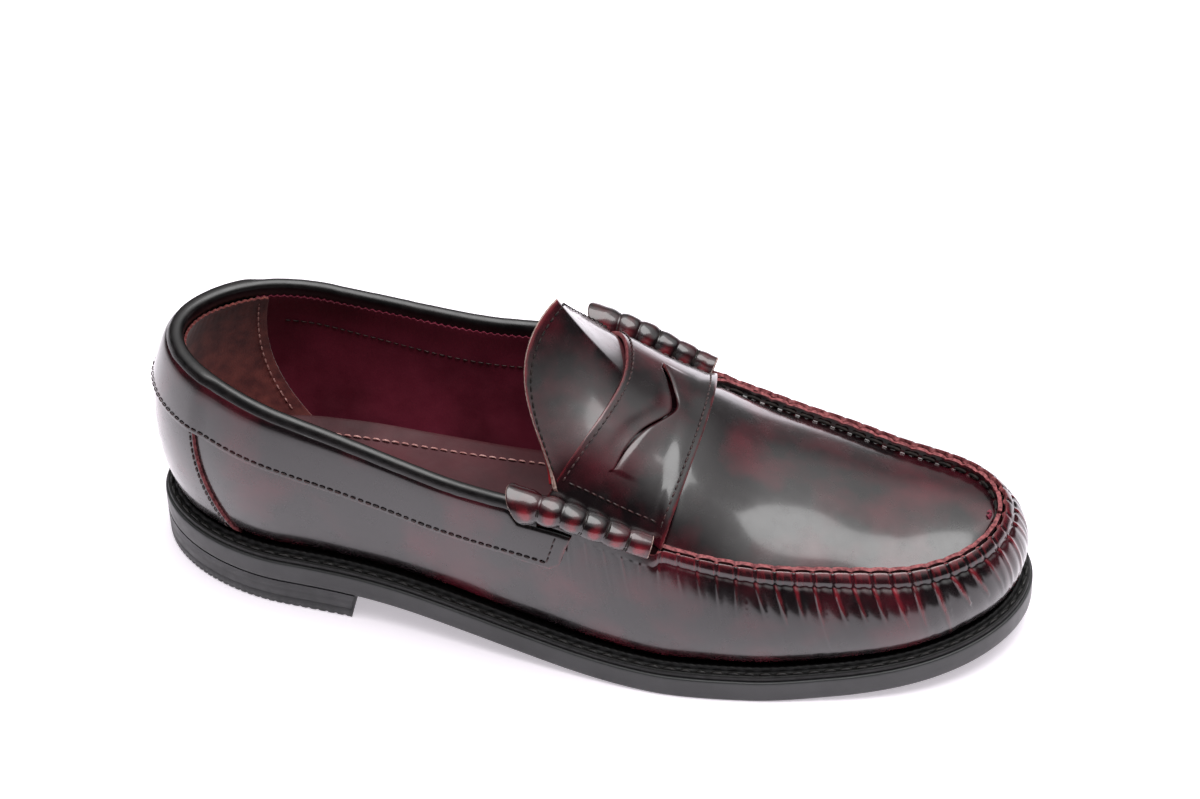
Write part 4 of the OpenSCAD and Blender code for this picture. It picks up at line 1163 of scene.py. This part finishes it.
GRIP_SEAM_IN = (360 - GRIP_SEAM[0], 360 - GRIP_SEAM[1], 3)
LINING_END = angle_at(184)
lining_piece("quarter_lining_lateral", even_angles(GRIP_SEAM[0] - 3, LINING_END, .6), moved(GRIP_SEAM, -3),
             NO_SEAM,
             pinked_drop, lining_face, lining, lining, "lining_leather")
lining_piece("quarter_lining_medial", even_angles(360 - LINING_END, GRIP_SEAM_IN[0] + 3, .6), NO_SEAM,
             moved(GRIP_SEAM_IN, 3),
             pinked_drop, lining_face, lining, lining, "lining_leather")
lining_piece("vamp_lining", even_angles(LINING_END, 360 - LINING_END, 3), NO_SEAM, NO_SEAM,
             lambda a: 6.0 + edge_drop(a), lambda a, below, above: LINING_FACE + 0 * a,
             lining, lining, "lining_leather", 12)
lining_piece("heel_grip", even_angles(GRIP_SEAM_IN[0], 360 + GRIP_SEAM[0], .6), GRIP_SEAM_IN, GRIP_SEAM,
             lambda a: pinked_drop(a) - .2, lambda a, below, above: lining_face(a, below, above) - .85,
             suede, suede, "suede")
grip_rows = []
for seam, shift in ((GRIP_SEAM, -2.2), (GRIP_SEAM_IN, 2.2)):
    grip_rows += seam_rows(seam, (shift,), .12, .9, LINING_FACE - 1.1, -1)
grip_thread = stitch_row("heel_grip_stitches", grip_rows, 3.0, .6, pale_thread)
stands_for(grip_thread, "heel_grip_thread", "thread_pale")

# %% [markdown]
# ## The sock
# The sock is the leather under the foot. It rises a little at its edge where it meets the lining,
# and one line of pale stitches runs round it.

# %% Sock lining
sock_a = even_angles(0, 180, 2.2)[:, None]
sock_q = np.linspace(-1, 1, 49)[None]
SOCK_EDGE = SOLE_RIM + UPPER_TOP_T + 1.0


def sock_at(a, q, inset=SOCK_EDGE):
    """A point of the sock's surface."""
    left, right = sole_point(a, inset, H_SOCK), sole_point(360 - a, inset, H_SOCK)
    p = lerp(left, right, ((q + 1) / 2)[..., None])
    p[..., 2] = ground(p[..., 0]) + H_SOCK + (1.2 + 3.2 * ease((130 - p[..., 0]) / 70)) * np.abs(q)**3
    return p


sock_grid = sock_at(sock_a + 0 * sock_q, sock_q + 0 * sock_a)
sock_grid[..., 2] += .15 * ripple(sock_grid, 30, 41)
sock = sheet("sock_leather_piece", sock_grid, SOCK_T, [sock_leather, flesh, cut_edge], edge=.2)
stands_for(sock, "sock_lining", "sock_leather")
sock_row_a = np.linspace(-104, 104, 400)
sock_row = sole_point(sock_row_a, 17.0 + 0 * sock_row_a, H_SOCK + .9)
sock_row[:, 2] += 1.5 * ease((130 - sock_row[:, 0]) / 70)
sock_thread = stitch_row("sock_stitches", [(sock_row, np.array([[0, 0, 1.0]] * 400))], 3.4, .7, pale_thread)
stands_for(sock_thread, "sock_thread", "thread_pale")

# %% [markdown]
# ## The tongue
# The tongue hangs from the strap and lifts when the foot goes in. Here its pieces are built in place
# and attached to no body.

# %% Tongue
TIP_X, TIP_Y, LOW_Z, TONGUE_SIDES, BOW = 140, 4, SIDE_H + 4.5, .985, 7.5


def tongue_face(r, q):
    """The tongue's face: r is 0 at its root under the strap and 1 at its free edge."""
    r, q = np.broadcast_arrays(np.asarray(r, float), np.asarray(q, float))
    root = lid(angle_at(strap_rear(q) + 5), q * TONGUE_SIDES)
    end = np.stack([
        lerp(TIP_X, root[..., 0] - 1, np.abs(q)**4) - BOW * np.where(q < 0, 1,
                                                                     .45) * np.sin(np.radians(180
                * np.abs(q))),
        root[..., 1] + TIP_Y * (1 - q * q), lerp(TONGUE_H, LOW_Z, np.abs(q)**np.where(q < 0, 1.45, 1.2))], -1)
    points = lerp(root, end, r[..., None])
    points[..., 2] -= 5 * r * (1 - r) * (1 - q * q)
    return points


def tongue_out(r, q):
    """The direction straight out of the tongue."""
    return unit(np.cross(tongue_face(r - .02, q) - tongue_face(r + .02, q), tongue_face(r, q + .02)
                         - tongue_face(r, q - .02)))


def tongue_skin(r, q, d):
    """A layer that lies d above the tongue's face."""
    points = tongue_face(r, q)
    return points + (d + .12 * ripple(points, 24, 51))[..., None] * tongue_out(np.minimum(r, .96),
            np.clip(q, -.97, .97))


r_rows = np.linspace(1, 0, 34)[:, None]
q_rows = np.linspace(-1, 1, 90)[None]
tongue_parts = []
tongue_grid = tongue_skin(r_rows, q_rows, 0)
edge_rub = .8 * np.exp(-(1 - r_rows + 0 * q_rows) / .03)
tongue_parts.append((sheet("tongue_leather", tongue_grid, UPPER_T, [calf, flesh, raw_edge],
                           {"burnish_and_highlight": edge_rub}, edge=.25),
                     "tongue", "upper_leather"))
tongue_parts.append((sheet("tongue_lining_leather",
                           tongue_skin(r_rows * .975, q_rows * .975, -UPPER_T - .15), LINING_T,
                           [flesh, red_lining,
                            red_lining], edge=.15), "tongue_lining", "tongue_lining_leather"))
tongue_q = np.linspace(-.93, .93, 200)
tongue_rows = [(tongue_skin(.93 + 0 * tongue_q, tongue_q, .05), tongue_out(.93 + 0 * tongue_q, tongue_q))]
tongue_parts.append((stitch_row("tongue_stitches", tongue_rows, 2.7, .6, dark_thread, fill=.78),
                     "tongue_thread", "thread_red"))
for obj, node, slot in tongue_parts:
    stands_for(obj, node, slot, body=None)
    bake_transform(obj)
print("tongue:", [node for _, node, _ in tongue_parts])

# %% [markdown]
# ## The sole
# The outsole is one moulding. A few loops of points run round it: the edge of the tread, a rounded
# corner, the smooth wall and the top. The tread's shallow bars are part of the mesh under the ball
# of the foot.

# %% Outsole
loop_a = np.linspace(0, 360, 720, endpoint=False)


def loops_mesh(name, loops, material, close=False, flip=False):
    """A skin through closed loops of points. close joins the last loop to the first one."""
    points = np.stack(loops)
    faces = grid_faces(len(points), points.shape[1], wrap_n=close, wrap_m=True, flip=flip)
    return mesh_object(name, points.reshape(-1, 3), list(faces), [material])


def toward_middle(inset, f, height, tread=0.0):
    """A loop that is moved a share f of the way to the sole's middle line."""
    p, mirror = sole_point(loop_a, inset, 0.0), sole_point(-loop_a, inset, 0.0)
    p = lerp(p, (p + mirror) / 2, f)
    bars = .5 + .5 * np.clip(3 * np.sin(2 * math.pi * p[:, 0] / 7), -1, 1)
    zone = ease((p[:, 0] - 165) / 6) * ease((282 - p[:, 0]) / 6)
    p[:, 2] = ground(p[:, 0]) + height + tread * bars * zone
    return p


bottom = [toward_middle(.9, f, 0.0, .9 * (f > .06)) for f in (1, .8, .6, .4, .2, .12, .1, .05, 0)]
EDGE = [(.45, .15), (.12, .5), (.02, 1.2), (0, 3), (0, 5), (0, 7), (.03, 7.8), (.2, 8.3), (.6, SOLE_T)]
wall_loops = [sole_point(loop_a, inset, height) for inset, height in EDGE]
top = [toward_middle(.9, f, SOLE_T) for f in (0, .2, .6, 1)]
outsole = loops_mesh("outsole_rubber", bottom + wall_loops + top, rubber)
stands_for(outsole, "outsole", "rubber")


# %% Heel
def heel_outline(inset, front, teeth=0.0):
    """The heel's outline: round the back along the sole's edge, and straight across at its breast."""
    limit = math.degrees(math.acos(1 - 2 * front / SOLE_LEN))
    a = np.linspace(-limit, limit, 321)
    notch = teeth * np.clip(2.4 * np.sin(np.arange(321) * math.pi / 2), 0, 1)
    rim = sole_point(a, inset + notch, 0.0)[:, :2]
    across = np.linspace(0, 1, 22)[1:-1, None]
    breast = lerp(rim[-1], rim[0], across)
    breast[:, 0] -= 1.6 * (1 - (2 * across[:, 0] - 1)**2)
    return np.concatenate([rim, breast])


def heel_layer(name, rings, material):
    """A closed layer of the heel. rings are (inset, height or None for the sole's underside, front,
    teeth)."""
    loops = []
    for inset, height, front, teeth in rings:
        xy = heel_outline(inset, front, teeth)
        z = ground(xy[:, 0]) if height is None else np.full(len(xy), float(height))
        loops.append(np.concatenate([xy, z[:, None]], 1))
    n = len(loops[0])
    faces = list(grid_faces(len(loops), n, wrap_m=True)) + [np.arange(n)[::-1], np.arange(n)
                                                            + (len(loops) - 1) * n]
    return mesh_object(name, np.concatenate(loops), faces, [material])


heel = heel_layer("heel_block",
                  [(.3, TOP_PIECE_T + .05, HEEL_LEN - 1.8, 0), (.1, TOP_PIECE_T + .25, HEEL_LEN - 1.6, 0),
                                 (.04, 7.5, HEEL_LEN - .8, 0), (.04, None, HEEL_LEN, 0)], heel_rubber)
stands_for(heel, "heel_base", "rubber")
top_piece = heel_layer("heel_top_piece_rubber", [
    (8.6, .8, HEEL_LEN - 9, 0), (8.0, 0, HEEL_LEN - 8.4, 0), (1.0, 0, HEEL_LEN - 2.2, 0), (.35, .25,
            HEEL_LEN - 1.7, .5), (.2, .7, HEEL_LEN - 1.5, .5),
    (.2, 1.5, HEEL_LEN - 1.5, .35), (.15, 1.8, HEEL_LEN - 1.5, 0), (.1, 3.7, HEEL_LEN - 1.5, 0),
    (.3, TOP_PIECE_T, HEEL_LEN - 1.7, 0)], heel_rubber)
stands_for(top_piece, "heel_top_piece", "rubber")

# %% [markdown]
# ## The welt
# The welt is a strip of leather round the shoe, sewn down to the sole, with a raised bead against
# the upper. The bead is crimped by the stitching wheel, which is modelled as a small wave.

# %% Welt
welt_a = angle_of(np.linspace(travel_at(0), travel_at(360), 1500, endpoint=False))
WELT_SECTION = [(.95, 8.7), (.9, 9.2), (.9, 10.2), (1.15, 10.6), (1.6, 10.72), (2.3, 10.5), (3.0, 10.66),
                (3.35, 11.1),
                (3.45, 11.7), (3.75, 12.15), (4.2, 12.3), (4.6, 12.1), (4.8, 11.5), (4.95, 10.75), (7,
                        10.5), (16.5, 10.4),
                (16.5, 8.7)]
crimp = np.abs(np.sin(math.pi * np.interp(welt_a, RIB_ANGLES, TRAVEL) / 2.65))
welt_loops = []
for inset, height in WELT_SECTION:
    on_bead = math.exp(-((inset - 4.1) / .8)**2) * (height > 11)
    welt_loops.append(sole_point(welt_a, inset, height - .3 * on_bead * (1 - crimp)))
welt = loops_mesh("welt_strip", welt_loops, welt_finish, close=True)
stands_for(welt, "welt", "welt_leather")
welt_row_a = np.linspace(0, 360, 720)
welt_row = sole_point(welt_row_a, 2.2 + 0 * welt_row_a, 10.55)
welt_thread = stitch_row("welt_stitches", [(welt_row, np.array([[0, 0, 1.0]] * 720))], 5.3, 1.0,
                         welt_thread_finish, fill=.8)
stands_for(welt_thread, "welt_thread", "thread_dark")

# %% [markdown]
# ## Studio
# The shoe stands on a white sheet whose own emission paints a pool of light round it, fading to dark
# beyond, and whose colour is painted greyer away from the shoe; above are a soft glow and one broad
# lamp. Glossy leather shows what surrounds it: the lower wall reflects the glowing sheet, the lid
# reflects the glow overhead, and the wall is dark where it reflects the unlit room between them.

# %% Floor, light and camera
def painted_light_falloff(near, far):
    """One colour near the shoe and another farther away: painted light that falls off round the shoe."""
    def colour(tree, place):
        distance = add(tree, "ShaderNodeVectorMath", {0: place}, operation="LENGTH").outputs["Value"]
        away = add(tree, "ShaderNodeMapRange", {"Value": distance, "From Min": .42, "From Max": .8},
                   interpolation_type="SMOOTHSTEP").outputs["Result"]
        return add(tree, "ShaderNodeMix", {0: away, 6: tone(near), 7: tone(far)}, data_type="RGBA").outputs[2]
    return colour


# The floor is a white sheet with painted light: paler near the shoe and greyer farther out, and glowing by
# its own emission round the shoe
paper = surface("white_acrylic_sheet", painted_light_falloff("#f3edf4", "#c9c5c9"),
                {"Roughness": .9, "Emission Strength": .5},
                waves=[(1.5, .02, 2)])
paper_tree = paper.node_tree
# Painted glow: the floor's emission is bright round the shoe and dark beyond, though no lamp lies under it.
glow = painted_light_falloff("#f3edf4", "#0c0b0c")(paper_tree, add(paper_tree, "ShaderNodeTexCoord").outputs["Object"])
paper_shader = next(node for node in paper_tree.nodes if node.type == "BSDF_PRINCIPLED")
paper_tree.links.new(glow, paper_shader.inputs["Emission Color"])
half = 4.0
floor_mesh = bpy.data.meshes.new("floor")
floor_mesh.from_pydata([(-half, -half, 0), (half, -half, 0), (half, half, 0), (-half, half, 0)], [],
                       [(0, 1, 2, 3)])
floor_mesh.materials.append(paper)
floor = bpy.data.objects.new("floor", floor_mesh)
bpy.context.scene.collection.objects.link(floor)

world = bpy.data.worlds.new("studio")
bpy.context.scene.world = world
world.use_nodes = True
studio = world.node_tree
studio.nodes.clear()
towards = add(studio, "ShaderNodeTexCoord").outputs["Generated"]
light = None
# A direction, the cosines where the glow starts and is full, and its strength
for direction, start, full, strength in (((.15, .15, 1), .5, .97, 1.5), ((-.1, 1, .5), .6, 1.0, .25)):
    d = Vector(direction).normalized()
    facing = add(studio, "ShaderNodeVectorMath", {0: towards, 1: d}, operation="DOT_PRODUCT").outputs["Value"]
    glow = add(studio, "ShaderNodeMapRange",
               {"Value": facing, "From Min": start, "From Max": full, "To Max": strength},
               interpolation_type="SMOOTHSTEP").outputs["Result"]
    light = glow if light is None else add(studio, "ShaderNodeMath", {0: light, 1: glow},
                                           operation="ADD").outputs[0]
room = add(studio, "ShaderNodeMath", {0: light, 1: .045}, operation="ADD").outputs[0]
seen = add(studio, "ShaderNodeLightPath").outputs["Is Camera Ray"]
strength = add(studio, "ShaderNodeMix", {0: seen, 2: room, 3: 1.0}).outputs[0]
sky = add(studio, "ShaderNodeBackground", {"Color": (1, 1, 1, 1), "Strength": strength})
add(studio, "ShaderNodeOutputWorld", {"Surface": sky.outputs["Background"]})


def softbox(name, place, aim, width, height, power):
    """A soft lamp at a place, turned to a point."""
    lamp = bpy.data.lights.new(name, "AREA")
    lamp.shape, lamp.size, lamp.size_y, lamp.energy = "RECTANGLE", width, height, power
    obj = bpy.data.objects.new(name, lamp)
    obj.location = place
    obj.rotation_euler = (Vector(aim) - Vector(place)).to_track_quat("-Z", "Y").to_euler()
    bpy.context.scene.collection.objects.link(obj)


softbox("overhead", (.12, .1, 1.3), (.03, .02, .03), 1.3, 1.0, 17)

forward = Vector((-.18324, .72211, -.66707)).normalized()
right = forward.cross(Vector((0, 0, 1))).normalized()
up = right.cross(forward)
roll = math.radians(-1.8)
right, up = math.cos(roll) * right + math.sin(roll) * up, math.cos(roll) * up - math.sin(roll) * right
camera_data = bpy.data.cameras.new("camera")
camera_data.sensor_width, camera_data.lens = 36, 125.823
camera_data.clip_start = .05
camera = bpy.data.objects.new("camera", camera_data)
camera.matrix_world = Matrix.Translation((.25823, -1.00002, 1.00258)) @ Matrix((right, up,
        -forward)).transposed().to_4x4()
bpy.context.scene.collection.objects.link(camera)
bpy.context.scene.camera = camera
bpy.context.scene.view_settings.view_transform = "Standard"
print("camera at", camera.location, "with a lens of", round(camera_data.lens, 1), "mm")
